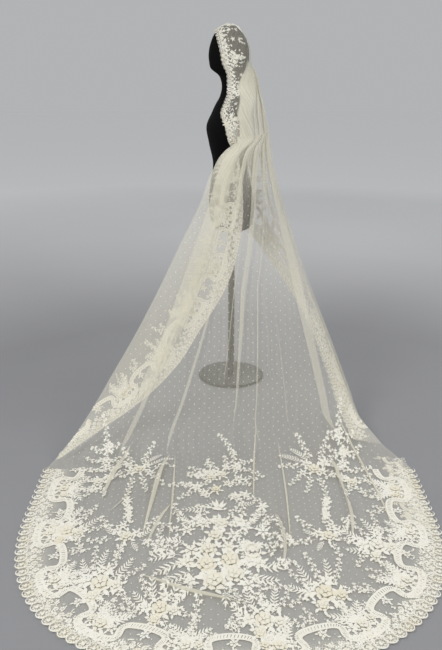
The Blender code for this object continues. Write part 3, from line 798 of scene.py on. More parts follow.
def lay_lace(name, work, surface, lift):
    """Set out a list of (kind, x, y, turn, length, width), make it one mesh and lay it on a surface."""
    points = bpy.data.meshes.new(name)
    layers = [LAYER * (index % LAYERS) for index in range(len(work))]
    points.from_pydata([(item[1], item[2], layer) for item, layer in zip(work, layers)], [], [])
    chance = np.random.default_rng(len(work))
    columns = {
        "kind": ("INT", [KINDS.index(item[0]) for item in work]),
        "turn": ("FLOAT", [item[3] for item in work]),
        "tint": ("FLOAT", [chance.uniform(*TINTS.get(item[0], (0.0, 0.5))) for item in work]),
    }
    for column, (kind, values) in columns.items():
        points.attributes.new(column, kind, "POINT").data.foreach_set("value", values)
    sizes = np.array([(item[4], item[5], min(item[4], item[5])) for item in work], dtype=np.float32)
    points.attributes.new("size", "FLOAT_VECTOR", "POINT").data.foreach_set("vector", sizes.ravel())
    pattern = added(name + "-pattern", points)
    setting = pattern.modifiers.new("setting out", "NODES")
    setting.node_group = SETTING_TREE
    setting[SETTING_INPUTS["Motifs"]] = motif_box
    setting[SETTING_INPUTS["Finish"]] = LACE
    mesh = bpy.data.meshes.new_from_object(pattern.evaluated_get(bpy.context.evaluated_depsgraph_get()))
    bpy.data.objects.remove(pattern)
    place = np.zeros(len(mesh.vertices) * 3)
    mesh.vertices.foreach_get("co", place)
    place = place.reshape(-1, 3)
    place = laid(surface, place[:, 0], place[:, 1], place[:, 2] + lift)
    mesh.vertices.foreach_set("co", place.ravel())
    mesh.shade_smooth()
    mesh.update()
    mesh.name = name
    triangles = sum(len(polygon.vertices) - 2 for polygon in mesh.polygons)
    print(name, len(work), "motifs", triangles, "triangles")
    return added(name, mesh)


# %% [markdown]
# ## Sprays, ribbons and borders
# Three kinds of work fill the lace. A fern is a curved stem with slim leaves in close pairs. A sprig is a
# stem with small trefoils on alternate sides. A ribbon is two rails with rungs between them. The border
# repeats along every free edge: scalloped medallions outside, close blossoms behind them, then a ribbon
# that loops in and out, with a bouquet in each of its bays. The narrow border of the hood has no ribbon,
# and looser sprays of small leaves.

# %% Ferns and sprigs
STEM_WIDTH = 0.0018
LEAF_LEAN = 0.80
TWIG_LEAN = 0.95


def fern(work, x, y, turn, length, bend, leaf):
    """A stem with slim leaves in close pairs. Turn and bend are in degrees."""
    heading = math.radians(turn)
    pairs = max(4, round(length / (leaf * 0.56)))
    step = length / pairs
    for index in range(pairs):
        work.append(("bar", x, y, heading, step * 1.1, STEM_WIDTH))
        x += step * math.cos(heading)
        y += step * math.sin(heading)
        heading += math.radians(bend) / pairs
        size = leaf * (0.50 + 0.50 * math.sin(math.pi * (0.9 * index + 1.2) / pairs))
        for lean in (-LEAF_LEAN, LEAF_LEAN):
            work.append(("leaf", x, y, heading + lean, size, size * 0.30))
    work.append(("leaf", x, y, heading, leaf * 0.7, leaf * 0.30))


def sprig(work, x, y, turn, length, bend, leaf, tip="daisy"):
    """A stem with a trefoil of small leaves on alternate sides, and a blossom or bud at its tip."""
    heading = math.radians(turn)
    twigs = max(3, round(length / (leaf * 1.05)))
    step = length / twigs
    for index in range(twigs):
        work.append(("bar", x, y, heading, step * 1.1, STEM_WIDTH))
        x += step * math.cos(heading)
        y += step * math.sin(heading)
        heading += math.radians(bend) / twigs
        size = leaf * (1.05 - 0.40 * index / twigs)
        side = 1 if index % 2 else -1
        out = heading + side * TWIG_LEAN
        work.append(("leaf", x, y, heading - side * TWIG_LEAN, size * 0.9, size * 0.45))
        work.append(("bar", x, y, out, size * 0.6, STEM_WIDTH))
        end_x = x + size * 0.55 * math.cos(out)
        end_y = y + size * 0.55 * math.sin(out)
        for lean in (-0.95, 0.0, 0.95):
            work.append(("leaf", end_x, end_y, out + lean, size * 0.85, size * 0.48))
    work.append((tip, x + leaf * 0.3 * math.cos(heading), y + leaf * 0.3 * math.sin(heading), heading,
                 leaf * 0.50, leaf * 0.50))


def flower(work, kind, x, y, radius, leaves=6, turn=0.0):
    """A flower with a collar of leaves."""
    for index in range(leaves):
        heading = turn + 2 * math.pi * index / leaves
        start_x = x + radius * 0.85 * math.cos(heading)
        start_y = y + radius * 0.85 * math.sin(heading)
        work.append(("leaf", start_x, start_y, heading + 0.3, radius * 0.85, radius * 0.50))
    work.append((kind, x, y, turn, radius, radius))


def ribbon(work, points, width):
    """Two rails and their rungs along a line of points."""
    points = np.array(points)
    run = np.diff(points, axis=0)
    length = np.linalg.norm(run, axis=1)
    heading = np.arctan2(run[:, 1], run[:, 0])
    for (x, y), step, turn in zip(points, length, heading):
        for side in (-0.5, 0.5):
            rail_x = x - side * width * math.sin(turn)
            rail_y = y + side * width * math.cos(turn)
            work.append(("bar", rail_x, rail_y, turn, step * 1.2, width * 0.36))
        start_x = x + width * 0.5 * math.sin(turn)
        start_y = y - width * 0.5 * math.cos(turn)
        work.append(("bar", start_x, start_y, turn + math.pi / 2 - 0.3, width, step * 0.80))


# %% Border tables
# Lengths are those of a border as wide as the hem's. A narrower one has them in proportion.
REPEAT = 0.33
SCALLOPS = 8
SMALL_BLOOM = 0.80
SPRAY_BLOOMS = 80
RIBBON_WIDTH = 0.020
WHEEL_INWARD = 0.013
WHEEL_SIZE = 0.55
# Rows of blossoms, as shares of a scallop: offset, then inward in metres, then size.
BLOSSOM_ROWS = ((0.5, 0.038, 0.34), (0.0, 0.056, 0.30), (0.5, 0.072, 0.26))
# Ferns and sprigs of a bay, each row: turn, length, bend.
BAY_FERNS = ((60, 0.100, -38), (120, 0.100, 38), (24, 0.085, 44), (156, 0.085, -44))
BAY_SPRIGS = ((90, 0.125, 20), (74, 0.120, -34), (106, 0.120, 34), (42, 0.110, 30), (138, 0.110, -30))
BAY_INWARD = 0.108
# Flowers of a bay, each row: kind, along, inward, radius, leaves in the collar, turn or None for any turn.
BAY_FLOWERS = (
    ("rose", 0.000, 0.104, 0.030, 7, None),
    ("rose", -0.048, 0.112, 0.021, 6, 0.4),
    ("daisy", 0.046, 0.108, 0.019, 6, 0.2),
    ("daisy", 0.018, 0.148, 0.015, 5, 0.9),
)
# Sprigs between two bays, each row: lean, length, bend, leaf.
PEAK_SPRIGS = ((26, 0.070, -50, 0.014), (-50, 0.050, 40, 0.013))
PEAK_INWARD = 0.168


# %% Border
def edging(work, chance, length, count, scale, fullness):
    """Scalloped medallions along the free edge, with close blossoms behind them."""
    pitch = length / count
    for index in range(count):
        x = (index + 0.5) * pitch
        size = pitch * WHEEL_SIZE
        work.append(("wheel", x, WHEEL_INWARD * scale, chance.uniform(0, 1), size, size))
        for offset, inward, share in BLOSSOM_ROWS[: math.ceil(len(BLOSSOM_ROWS) * fullness)]:
            row_x = x + (offset + chance.uniform(-0.12, 0.12)) * pitch
            radius = pitch * share * chance.uniform(0.85, 1.15)
            work.append(("daisy", row_x, inward * scale, chance.uniform(0, 1), radius, radius))


def loose_leaves(work, chance, length, scale, fullness, bloom):
    for _ in range(int(length / (0.0030 * scale) * fullness)):
        x, y = chance.uniform(0, length), chance.triangular(0.022, 0.045, 0.105) * scale
        size = chance.uniform(0.010, 0.018) * (0.35 + 0.65 * scale) * bloom
        work.append(("leaf", x, y, chance.uniform(0, 2 * math.pi), size, size * 0.45))


def looping_ribbon(work, length, repeats, scale):
    """A ribbon that swings out round each bay and in between two of them."""
    phase = np.linspace(0, 2 * math.pi * repeats, int(length / (0.0060 * scale)))
    period = length / repeats
    loop_x = phase / (2 * math.pi) * period + 0.105 * period * np.sin(2 * phase)
    loop_y = (0.106 + 0.048 * np.cos(phase)) * scale
    ribbon(work, np.stack([loop_x, loop_y], axis=-1), RIBBON_WIDTH * scale)


def scattered_spray(work, chance, x, scale):
    """Small leaves and blossoms round a bay's rose, with net between them."""
    for _ in range(SPRAY_BLOOMS):
        turn, out = chance.uniform(0, 2 * math.pi), scale * chance.uniform(0.02, 0.11)
        spray_x, spray_y = x + out * math.cos(turn), scale * BAY_INWARD + out * math.sin(turn)
        kind = "daisy" if chance.uniform(0, 1) < 0.3 else "leaf"
        size = chance.uniform(0.008, 0.016) * scale * (1.0 if kind == "daisy" else 1.5)
        work.append((kind, spray_x, spray_y, turn + chance.uniform(-0.8, 0.8), size, size * 0.62))


def border(length, width, seed, fullness=1.0, inner=1.0, ribboned=True):
    """A flat length of border: x runs along the free edge and y inward from it."""
    work = []
    chance = np.random.default_rng(seed)
    scale = width / HEM_BAND
    bloom = 1.0 if ribboned else SMALL_BLOOM
    repeats = max(1, round(length / (REPEAT * scale)))
    period = length / repeats
    edging(work, chance, length, repeats * SCALLOPS, scale, fullness)
    loose_leaves(work, chance, length, scale, fullness, bloom)
    if ribboned:
        looping_ribbon(work, length, repeats, scale)
    for index in range(repeats):
        bay = (index + 0.5) * period
        mirror = 1 if index % 2 else -1
        for turn, out, bend in BAY_FERNS if ribboned else ():
            fern(work, bay, 0.112 * scale, turn, out * inner * scale, bend, 0.027 * scale)
        for turn, out, bend in BAY_SPRIGS if ribboned else BAY_SPRIGS[1:3]:
            size = 0.015 * scale * bloom
            sprig(work, bay, BAY_INWARD * scale, turn, out * inner * scale, mirror * bend, size)
        for kind, off, inward, radius, collar, turn in BAY_FLOWERS:
            turn = chance.uniform(0, 1) if turn is None else turn
            x = bay + mirror * off * scale
            flower(work, kind, x, inward * scale, radius * scale * bloom, collar, turn)
        if not ribboned:
            scattered_spray(work, chance, bay, scale)
        peak = (index + 0.02) * period
        flower(work, "daisy", peak, 0.124 * scale, 0.017 * scale * bloom, 5, chance.uniform(0, 1))
        for lean, out, bend, leaf in PEAK_SPRIGS:
            turn = 90 + lean * mirror
            size = leaf * scale * bloom
            sprig(work, peak, PEAK_INWARD * scale, turn, out * inner * scale, bend * mirror, size)
    return work


# %% [markdown]
# ## Lace along the edges
# Each free edge has its own map from the flat border: a distance along the edge and a distance inward
# from it give a place on the net.

# %% Edge maps
EDGE_LIFT = 0.0018
hood_places = np.linspace(1, -1, 400)
hood_distance = distance_along(hood_point(0.0, hood_places))


def hood_edge(along_edge, inward):
    along = np.interp(along_edge, hood_distance, hood_places)
    return hood_point(np.clip(inward / hood_reach(along), -0.1, 1), along)


HOOD_LACE = 0.098
ROSETTE_RADIUS = 0.013
ROSETTE_FROM_FOOT = 0.055
hood_length = hood_distance[-1]
hood_work = border(hood_length, HOOD_LACE, 3, 0.50, 1.00, False)
for place in (ROSETTE_FROM_FOOT, hood_length / 2 - 0.012, hood_length - ROSETTE_FROM_FOOT):
    flower(hood_work, "rose", place, 0.008, ROSETTE_RADIUS, 7, 0.3)
lace_hood = lay_lace("lace-hood", hood_work, hood_edge, EDGE_LIFT)

# %% Front edges
SIDE_LACE = 0.170
edge_levels = np.linspace(HOOD_BOTTOM_Z, FLOOR_TURN_Z, 400)
near_distance = distance_along(near_flap_point(0.0, edge_levels))
far_distance = distance_along(far_flap_point(1.0, edge_levels))


def square_on(surface, side, distance, breadth):
    """A map from flat lace to a hanging breadth that keeps it square to a slanting edge."""
    start = surface(side, edge_levels)
    inside = unit(surface(abs(side - 0.02), edge_levels) - start)
    run = np.gradient(start, distance, axis=0)
    cosine = np.clip(np.sum(inside * run, axis=-1), -0.85, 0.85)
    sine = np.sqrt(1 - cosine**2)

    def edge_point(along_edge, inward):
        slid = along_edge - inward * np.interp(along_edge, distance, cosine / sine)
        across = inward / np.interp(slid, distance, sine) / np.interp(slid, distance, breadth)
        z = np.interp(slid, distance, edge_levels)
        return surface(np.abs(side - np.minimum(across, 1.0)), z)

    def fits(item):
        slid = item[1] - item[2] * np.interp(item[1], distance, cosine / sine)
        room = np.interp(slid, distance, breadth * sine)
        return 0 < slid < distance[-1] and item[2] < room * 0.94

    return edge_point, fits


edge_pieces = []
for name, surface, side, distance, seed, lift in (
    ("near", near_flap_point, 0.0, near_distance, 5, -EDGE_LIFT),
    ("far", far_flap_point, 1.0, far_distance, 7, EDGE_LIFT),
):
    edge_map, fits = square_on(surface, side, distance, breadth_at(surface, edge_levels))
    work = [item for item in border(distance[-1], SIDE_LACE, seed, 0.7) if fits(item)]
    edge_pieces.append(lay_lace(f"lace-{name}-edge-flowers", work, edge_map, lift))
lace_near, lace_far = edge_pieces

# %% Hem
hem_turns = np.linspace(-1, 1, 241) * math.pi / 2
side_run = np.linspace(TRAIN_START_Y, TRAIN_ROUND_Y, 40)[:-1]


def hem_line(inset):
    half = TRAIN_HALF_WIDTH - inset
    near = np.stack([np.full_like(side_run, TRAIN_CENTRE_X - half), side_run], axis=-1)
    far = np.stack([np.full_like(side_run, TRAIN_CENTRE_X + half), side_run], axis=-1)[::-1]
    return np.concatenate([near, hem_curve(hem_turns, inset), far])


hem_outer = hem_line(0.0)
hem_inner = hem_line(HEM_BAND)
hem_distance = distance_along(hem_outer)


def hem_edge(along_edge, inward):
    share = inward / HEM_BAND
    plan = []
    for axis in (0, 1):
        outer_line = np.interp(along_edge, hem_distance, hem_outer[:, axis])
        inner_line = np.interp(along_edge, hem_distance, hem_inner[:, axis])
        plan.append(outer_line + (inner_line - outer_line) * share)
    return train_point(plan[0], plan[1])


lace_hem = lay_lace("lace-hem", border(hem_distance[-1], HEM_BAND, 11), hem_edge, EDGE_LIFT)

# %% [markdown]
# ## Bouquets on the back
# The middle of the train carries one large bouquet, a smaller pair at its sides with sprays that hang to
# a second pair, and single sprays further out. They are placed by width and by distance from the line
# where the veil meets the floor: below it they lie on the train, above it they climb the fall.

# %% Map of the veil's back
floor_levels = np.linspace(0, FLOOR_TURN_Z, 20)
rise_levels = np.concatenate([floor_levels, np.linspace(FLOOR_TURN_Z, HOOD_BOTTOM_Z, 300)[1:]])
rise_distance = distance_along(fall_point(0.55, rise_levels))


def back_point(x, run):
    """Run below 0 is on the floor, above 0 up the fall."""
    z = np.interp(run, rise_distance, rise_levels)
    ends = fall_point(np.array([0.0, 1.0])[:, None], z.ravel()[None, :])[..., 0]
    place = (x.ravel() - ends[0]) / (ends[1] - ends[0])
    hanging = fall_point(np.clip(place, 0, 1), z.ravel()).reshape(x.shape + (3,))
    lying = train_point(x, TRAIN_START_Y + np.minimum(run, 0))
    return np.where((run > 0)[..., None], hanging, lying)


# %% Bouquet tables
BOUQUET_LIFT = 0.0026
STRETCH = 1.35
FERN_SIZE = 0.74
# The middle bouquet's flowers in millimetres, each row: kind, x from its middle line, run, radius.
MIDDLE_X = -0.055
MIDDLE_FLOWERS = (
    ("rose", 4, -48, 22), ("rose", -38, -70, 22), ("rose", -18, -166, 20), ("daisy", 60, 6, 15),
    ("daisy", -96, -150, 19), ("daisy", -62, -192, 16), ("rose", 60, -222, 18), ("daisy", 98, -205, 16),
    ("daisy", 160, -292, 16), ("daisy", -92, -390, 21), ("daisy", -62, -412, 19), ("daisy", -122, -446, 20),
    ("daisy", 72, -392, 19), ("daisy", 90, -428, 20), ("daisy", 155, -460, 22), ("rose", 4, -402, 28),
    ("rose", -18, -484, 28), ("daisy", 46, -480, 20), ("rose", -42, -566, 33), ("daisy", 28, -552, 24),
    ("daisy", -102, -572, 26), ("rose", 34, -632, 36), ("rose", -46, -654, 37), ("wheel", 112, -582, 31),
    ("rose", 48, -706, 34), ("daisy", 130, -646, 25), ("rose", -20, -742, 42), ("daisy", -112, -640, 24),
    ("daisy", 92, -764, 23), ("daisy", -100, -744, 20),
)
# Its ferns and its sprigs, each row: x, run, length and leaf in millimetres, turn and bend in degrees.
MIDDLE_FERNS = (
    (-20, -262, 170, 32, 214, -34), (-36, -240, 80, 34, 128, 20), (-70, -150, 120, 26, 176, -24),
    (110, -420, 110, 30, 52, 30), (120, -440, 110, 30, 14, 34), (60, -560, 130, 36, 18, -24),
    (-140, -600, 130, 36, 176, 34), (-120, -640, 140, 40, 196, 24), (-100, -690, 140, 42, 208, 20),
    (130, -660, 130, 38, 336, 60), (100, -700, 120, 38, 318, 50), (-80, -780, 120, 32, 206, 34),
    (12, -790, 70, 34, 284, -20), (60, -260, 90, 26, 330, 60), (-90, -420, 110, 28, 160, -50),
    (-120, -540, 110, 30, 150, 34),
)
MIDDLE_SPRIGS = (
    (58, 0, 90, 15, 96, -20), (58, 80, 130, 13, 100, 44), (62, -20, 90, 15, 66, -60),
    (80, -20, 100, 15, 10, -70), (20, -30, 90, 15, 82, 20), (-20, -30, 80, 15, 104, 24),
    (-50, -60, 90, 15, 134, 30), (-60, -80, 70, 14, 160, 20), (20, -140, 100, 14, 30, -60),
    (-100, -140, 100, 16, 168, 20), (-100, -180, 70, 14, 200, 30), (90, -220, 100, 14, 352, -50),
    (20, -240, 80, 14, 40, -40), (78, -380, 100, 16, 82, 20), (100, -400, 100, 16, 40, 30),
    (160, -440, 80, 15, 70, 40), (160, -480, 90, 15, 330, 50), (-120, -420, 120, 16, 140, -50),
    (-140, -450, 90, 15, 176, -40), (-130, -480, 100, 16, 206, 30), (-50, -370, 70, 16, 110, 20),
    (40, -520, 120, 16, 40, 30), (70, -540, 140, 16, 350, 26), (150, -590, 110, 17, 10, 40),
    (160, -650, 90, 17, 350, 30), (-130, -560, 110, 17, 178, 30), (-150, -620, 130, 17, 160, -30),
    (100, -790, 110, 16, 300, 40), (130, -760, 80, 15, 340, 30), (-60, -800, 80, 15, 250, 20),
    (40, -800, 80, 15, 290, -20), (-215, -420, 110, 13, 262, 14), (205, -380, 130, 13, 282, 30),
)
# One side bouquet. The other side is its mirror image.
SIDE_FLOWERS = (
    ("rose", 0, -6, 27), ("daisy", 44, 28, 20), ("daisy", -30, 30, 17), ("daisy", 32, -30, 17),
    ("daisy", -50, -34, 16), ("daisy", 20, -250, 15), ("rose", 0, -488, 26), ("daisy", 34, -452, 17),
    ("daisy", -36, -470, 17), ("daisy", 18, -420, 15), ("daisy", 6, -350, 13),
)
SIDE_FERNS = (
    (-30, 30, 150, 26, 146, 24), (-20, 40, 120, 25, 120, 30), (60, 0, 70, 22, 350, 40),
    (30, -480, 80, 24, 20, 40), (-30, -490, 80, 24, 170, -40), (-20, -520, 60, 22, 226, 20),
)
SIDE_SPRIGS = (
    (30, 40, 110, 15, 74, -20), (50, 30, 100, 15, 40, -20), (-10, 50, 120, 15, 100, 24),
    (-50, 10, 90, 15, 168, 20), (70, -10, 80, 14, 6, -30), (50, -40, 80, 14, 328, 30),
    (-50, -50, 80, 14, 216, 20), (-20, -50, 100, 14, 262, -20), (10, -60, 180, 14, 286, -30),
    (30, -210, 140, 14, 262, -16), (20, -260, 80, 13, 250, 20), (10, -420, 80, 15, 88, 16),
    (50, -450, 80, 15, 40, 20), (-50, -450, 80, 15, 140, -20), (50, -500, 80, 15, 340, 30),
    (-50, -510, 80, 15, 200, -30), (10, -520, 60, 14, 276, 20),
)
# The spray beyond it, which climbs from the floor up the edge of the fall.
OUTER_FLOWERS = (
    ("daisy", 0, 190, 17), ("daisy", 16, 100, 18), ("daisy", -12, 30, 17), ("rose", 6, -110, 24),
    ("daisy", -30, -70, 16),
)
OUTER_SPRIGS = (
    (0, 190, 120, 14, 84, -14), (0, 150, 60, 14, 130, 20), (10, 150, 60, 14, 40, -20),
    (10, 60, 110, 15, 96, 14), (10, 60, 80, 15, 150, -20), (16, 60, 80, 15, 30, 20),
    (0, -40, 110, 15, 84, 20), (-10, -20, 90, 15, 150, 20), (10, -30, 90, 15, 24, -20),
    (0, -100, 90, 15, 160, 20), (10, -110, 90, 15, 20, 20), (6, -130, 70, 14, 230, 20),
    (6, -130, 70, 14, 310, -20),
)
# Low bouquets just inside the hem, each row: x, run, lean in degrees, size.
LOW_PLACES = (
    (0.500, -0.545, 34, 1.10), (0.285, -0.805, 12, 1.15), (-0.615, -0.455, -40, 1.05),
    (-0.450, -0.755, -24, 1.20), (-0.245, -0.880, -8, 1.00), (0.080, -0.935, 0, 1.05),
)
LOW_FERNS = ((58, 0.080, 34), (126, 0.080, -34), (170, 0.070, -44))
LOW_SPRIGS = (
    (90, 0.110, 14), (40, 0.100, 30), (140, 0.100, -30), (0, 0.080, -30), (180, 0.080, 30), (300, 0.050, 20),
)
LOW_FLOWERS = (
    ("rose", 0.0, 0.0, 0.030), ("rose", 0.044, -0.006, 0.020), ("daisy", -0.044, 0.002, 0.020),
    ("daisy", 0.010, 0.042, 0.017), ("rose", -0.014, -0.040, 0.020),
)
LOW_START = 0.032


def bouquet(work, flowers, ferns, sprigs, middle_x, mirror=1):
    for make, rows, size in ((fern, ferns, FERN_SIZE), (sprig, sprigs, 1.0)):
        for *lengths, turn, bend in rows:
            x, run, length, leaf = (value / 1000 for value in lengths)
            x = middle_x + mirror * x
            heading = turn if mirror > 0 else 180 - turn
            make(work, x, run / STRETCH, heading, length * size, mirror * bend, leaf * size)
    for kind, *lengths in flowers:
        x, run, radius = (value / 1000 for value in lengths)
        flower(work, kind, middle_x + mirror * x, run / STRETCH, radius, 6, run * 40)


def low_bouquet(work, x, run, lean, size):
    run = run / STRETCH
    for make, rows, leaf in ((fern, LOW_FERNS, 0.022), (sprig, LOW_SPRIGS, 0.014)):
        for turn, length, bend in rows:
            heading = math.radians(turn + lean)
            start_x = x + LOW_START * math.cos(heading)
            start_run = run + LOW_START * math.sin(heading)
            make(work, start_x, start_run, turn + lean, length * size, bend, leaf)
    for kind, off_x, off_run, radius in LOW_FLOWERS:
        flower(work, kind, x + off_x * size, run + off_run * size, radius * size, 6, off_x * 30)


def filling(work, middle_x, middle_run, half_x, half_run, count, seed):
    """Short sprigs and small blossoms that fill a bouquet's body, all pointing outward."""
    chance = np.random.default_rng(seed)
    for index in range(count):
        angle = chance.uniform(0, 2 * math.pi)
        share = math.sqrt(chance.uniform(0.05, 1.0))
        x = middle_x + half_x * share * math.cos(angle)
        run = (middle_run + half_run * share * math.sin(angle)) / STRETCH
        turn = math.degrees(angle) + chance.uniform(-40, 40)
        if index % 3:
            sprig(work, x, run, turn, chance.uniform(0.035, 0.065), chance.uniform(-40, 40), 0.014)
        else:
            flower(work, "daisy", x, run, chance.uniform(0.013, 0.018), 5, angle)


# The bird's parts in its own size, each row: back, out, turn in degrees, length, width.
BIRD_PARTS = (
    (0.0, 0.0, -12, 1.00, 0.32), (0.88, -0.14, 20, 0.28, 0.22), (0.10, 0.02, 186, 0.50, 0.16),
    (0.10, 0.04, 168, 0.52, 0.16), (0.42, 0.02, 118, 0.80, 0.26), (0.50, 0.02, 100, 0.86, 0.26),
    (0.58, 0.00, 66, 0.80, 0.26), (0.66, -0.04, 48, 0.70, 0.24),
)


def bird(work, x, run, size):
    """A small plain bird: body, head, tail and two raised wings, all of leaves."""
    for back, out, turn, length, width in BIRD_PARTS:
        start_x, start_run = x + back * size, run + out * size
        work.append(("leaf", start_x, start_run, math.radians(turn), length * size, width * size))


# %% Bouquets
middle_work = []
bouquet(middle_work, MIDDLE_FLOWERS, MIDDLE_FERNS, MIDDLE_SPRIGS, MIDDLE_X)
filling(middle_work, MIDDLE_X, -0.560, 0.130, 0.200, 44, 21)
filling(middle_work, MIDDLE_X + 0.010, -0.060, 0.080, 0.080, 14, 22)
bird(middle_work, -0.092, -0.300 / STRETCH, 0.055)


def stretched_back(x, run):
    return back_point(x, run * STRETCH)


lace_middle = lay_lace("bouquet-middle", middle_work, stretched_back, BOUQUET_LIFT)
side_pieces = []
for name, mirror, side_x, outer_x in (("near", -1, -0.395, -0.540), ("far", 1, 0.335, 0.470)):
    side_work = []
    bouquet(side_work, SIDE_FLOWERS, SIDE_FERNS, SIDE_SPRIGS, side_x, mirror)
    bouquet(side_work, OUTER_FLOWERS, (), OUTER_SPRIGS, outer_x, mirror)
    side_pieces.append(lay_lace(f"bouquet-{name}", side_work, stretched_back, BOUQUET_LIFT))
low_work = []
for x, run, lean, size in LOW_PLACES:
    low_bouquet(low_work, x, run, lean, size)
lace_low = lay_lace("bouquets-low", low_work, stretched_back, BOUQUET_LIFT)

# %% Woven dots
DOT_PITCH = 0.044
DOT_RADIUS = 0.0021
dots = []
for row, run in enumerate(np.arange(-1.02, 1.60, DOT_PITCH / 2)):
    for x in np.arange(-0.70, 0.70, DOT_PITCH) + (row % 2) * DOT_PITCH / 2:
        z = float(np.interp(run, rise_distance, rise_levels))
        ends = fall_point(np.array([0.03, 0.97]), np.array([z, z]))[:, 0]
        on_fall = run > 0 and ends[0] < x < ends[1]
        reach_here = float(train_reach(TRAIN_START_Y + run)) - 0.15
        on_train = run <= 0 and abs(x - TRAIN_CENTRE_X) < reach_here
        if on_fall or on_train:
            dots.append(("dot", x, run, 0.0, DOT_RADIUS, DOT_RADIUS))
woven_dots = lay_lace("woven-dots", dots, back_point, BOUQUET_LIFT)

# %% [markdown]
# ## Creases in the train
# Where limp net reaches the floor its folds run on into the train and lie down to one side. Each is a
# narrow strip folded twice, thin at both ends, that follows its own line over the cloth below.

# %% Creases
# Each row: points (x, run) from end to end, width, height.
CREASES = (
    (((-0.273, 0.140), (-0.313, -0.150), (-0.336, -0.500)), 0.014, 0.006),
    (((-0.443, 0.200), (-0.490, 0.000), (-0.516, -0.240)), 0.018, 0.006),
    (((-0.250, 0.130), (-0.243, -0.200), (-0.240, -0.530)), 0.007, 0.004),
    (((0.103, 0.270), (0.084, 0.020), (0.075, -0.260)), 0.007, 0.004),
    (((0.196, 0.180), (0.204, -0.150), (0.193, -0.550)), 0.007, 0.004),
    (((0.415, 0.050), (0.424, -0.020), (0.436, -0.240)), 0.018, 0.006),
    (((0.430, -0.200), (0.436, -0.330), (0.420, -0.500)), 0.013, 0.007),
    (((0.462, 0.300), (0.545, 0.000), (0.580, -0.480)), 0.009, 0.004),
    (((0.150, -0.360), (0.172, -0.500), (0.157, -0.680)), 0.012, 0.006),
    (((-0.246, -0.270), (-0.290, -0.400), (-0.316, -0.540)), 0.011, 0.006),
    (((-0.330, -0.715), (-0.143, -0.810), (0.016, -0.862)), 0.013, 0.006),
    (((-0.480, -0.330), (-0.430, -0.230), (-0.415, -0.160)), 0.006, 0.004),
)
# Across a crease: place over its width, height.
CREASE_SECTION = np.array([
    (0.0, 0.0), (1.0, 0.30), (1.06, 0.42), (0.98, 0.54),
    (0.04, 0.68), (-0.02, 0.84), (0.06, 1.0), (1.1, 0.10),
])
CREASE_LIFT = 0.0008
CREASE_GATHER = 0.6
crease_sheets = []
for points, width, height in CREASES:
    top, middle, end = np.array(points)
    share = np.linspace(0, 1, 50)
    t = share[:, None]
    control = 2 * middle - (top + end) / 2
    line = (1 - t) ** 2 * top + 2 * t * (1 - t) * control + t**2 * end
    heading = unit(np.gradient(line, axis=0))
    swell = np.sin(math.pi * np.clip(share, 0.002, 0.998)) ** 0.6
    off = (CREASE_SECTION[None, :, 0] - 0.5) * (width * swell)[:, None]
    x = line[:, :1] - heading[:, 1:] * off
    run = line[:, 1:] + heading[:, :1] * off
    lift = CREASE_LIFT + CREASE_SECTION[None, :, 1] * (height * swell)[:, None]
    crease_sheets.append((laid(back_point, x, run, lift), 0.0, CREASE_GATHER))
train_creases = net_piece("train-creases", crease_sheets, NET)

# %% [markdown]
# ## The border turned under
# On the far side the border is turned under where it lies, so that the lace there is double.

# %% Turned border
TURNED_START_Y = -0.900
TURNED_LENGTH = 0.540
turned_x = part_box("lace-turn-under")[1].x


def turned_edge(along_edge, inward):
    y = TURNED_START_Y - along_edge
    x = np.minimum(turned_x, TRAIN_CENTRE_X + train_reach(y) - 0.012) - np.clip(inward, -0.02, 0.15)
    return np.stack([x, y, np.full_like(x, 0.0006)], axis=-1)


lace_turned = lay_lace("lace-turned-under", border(TURNED_LENGTH, 0.120, 13, 0.8, 0.6), turned_edge, 0.0)

# %% [markdown]
# ## The display form
# The form is a plain egg head, neck and body, with no limbs and no face. It is turned from rings like the
# rest of a pattern-cutter's stand, so a fine loft through its levels gives it back smoothly. A pole and a
# round foot carry it.

# %% Form and stand
FORM_COLUMNS = ("z", "front", "back", "half_width")
FORM_LEVELS = (
    (1.7480, -0.026, 0.000, 0.009),
    (1.7435, -0.042, 0.014, 0.020),
    (1.734, -0.058, 0.027, 0.034),
    (1.712, -0.082, 0.049, 0.052),
    (1.678, -0.099, 0.068, 0.066),
    (1.640, -0.109, 0.077, 0.073),
    (1.590, -0.109, 0.076, 0.072),
    (1.555, -0.098, 0.066, 0.062),
    (1.530, -0.066, 0.048, 0.052),
    (1.500, -0.052, 0.046, 0.051),
    (1.455, -0.052, 0.052, 0.056),
    (1.425, -0.062, 0.062, 0.090),
    (1.398, -0.078, 0.074, 0.140),
    (1.360, -0.096, 0.084, 0.166),
    (1.300, -0.122, 0.088, 0.168),
    (1.220, -0.112, 0.080, 0.150),
    (1.120, -0.092, 0.074, 0.124),
    (1.020, -0.104, 0.092, 0.150),
    (0.930, -0.112, 0.110, 0.168),
    (0.850, -0.104, 0.106, 0.164),
    (0.812, -0.090, 0.092, 0.148),
    (0.800, -0.070, 0.072, 0.120),
)
FORM_SIDES = 96


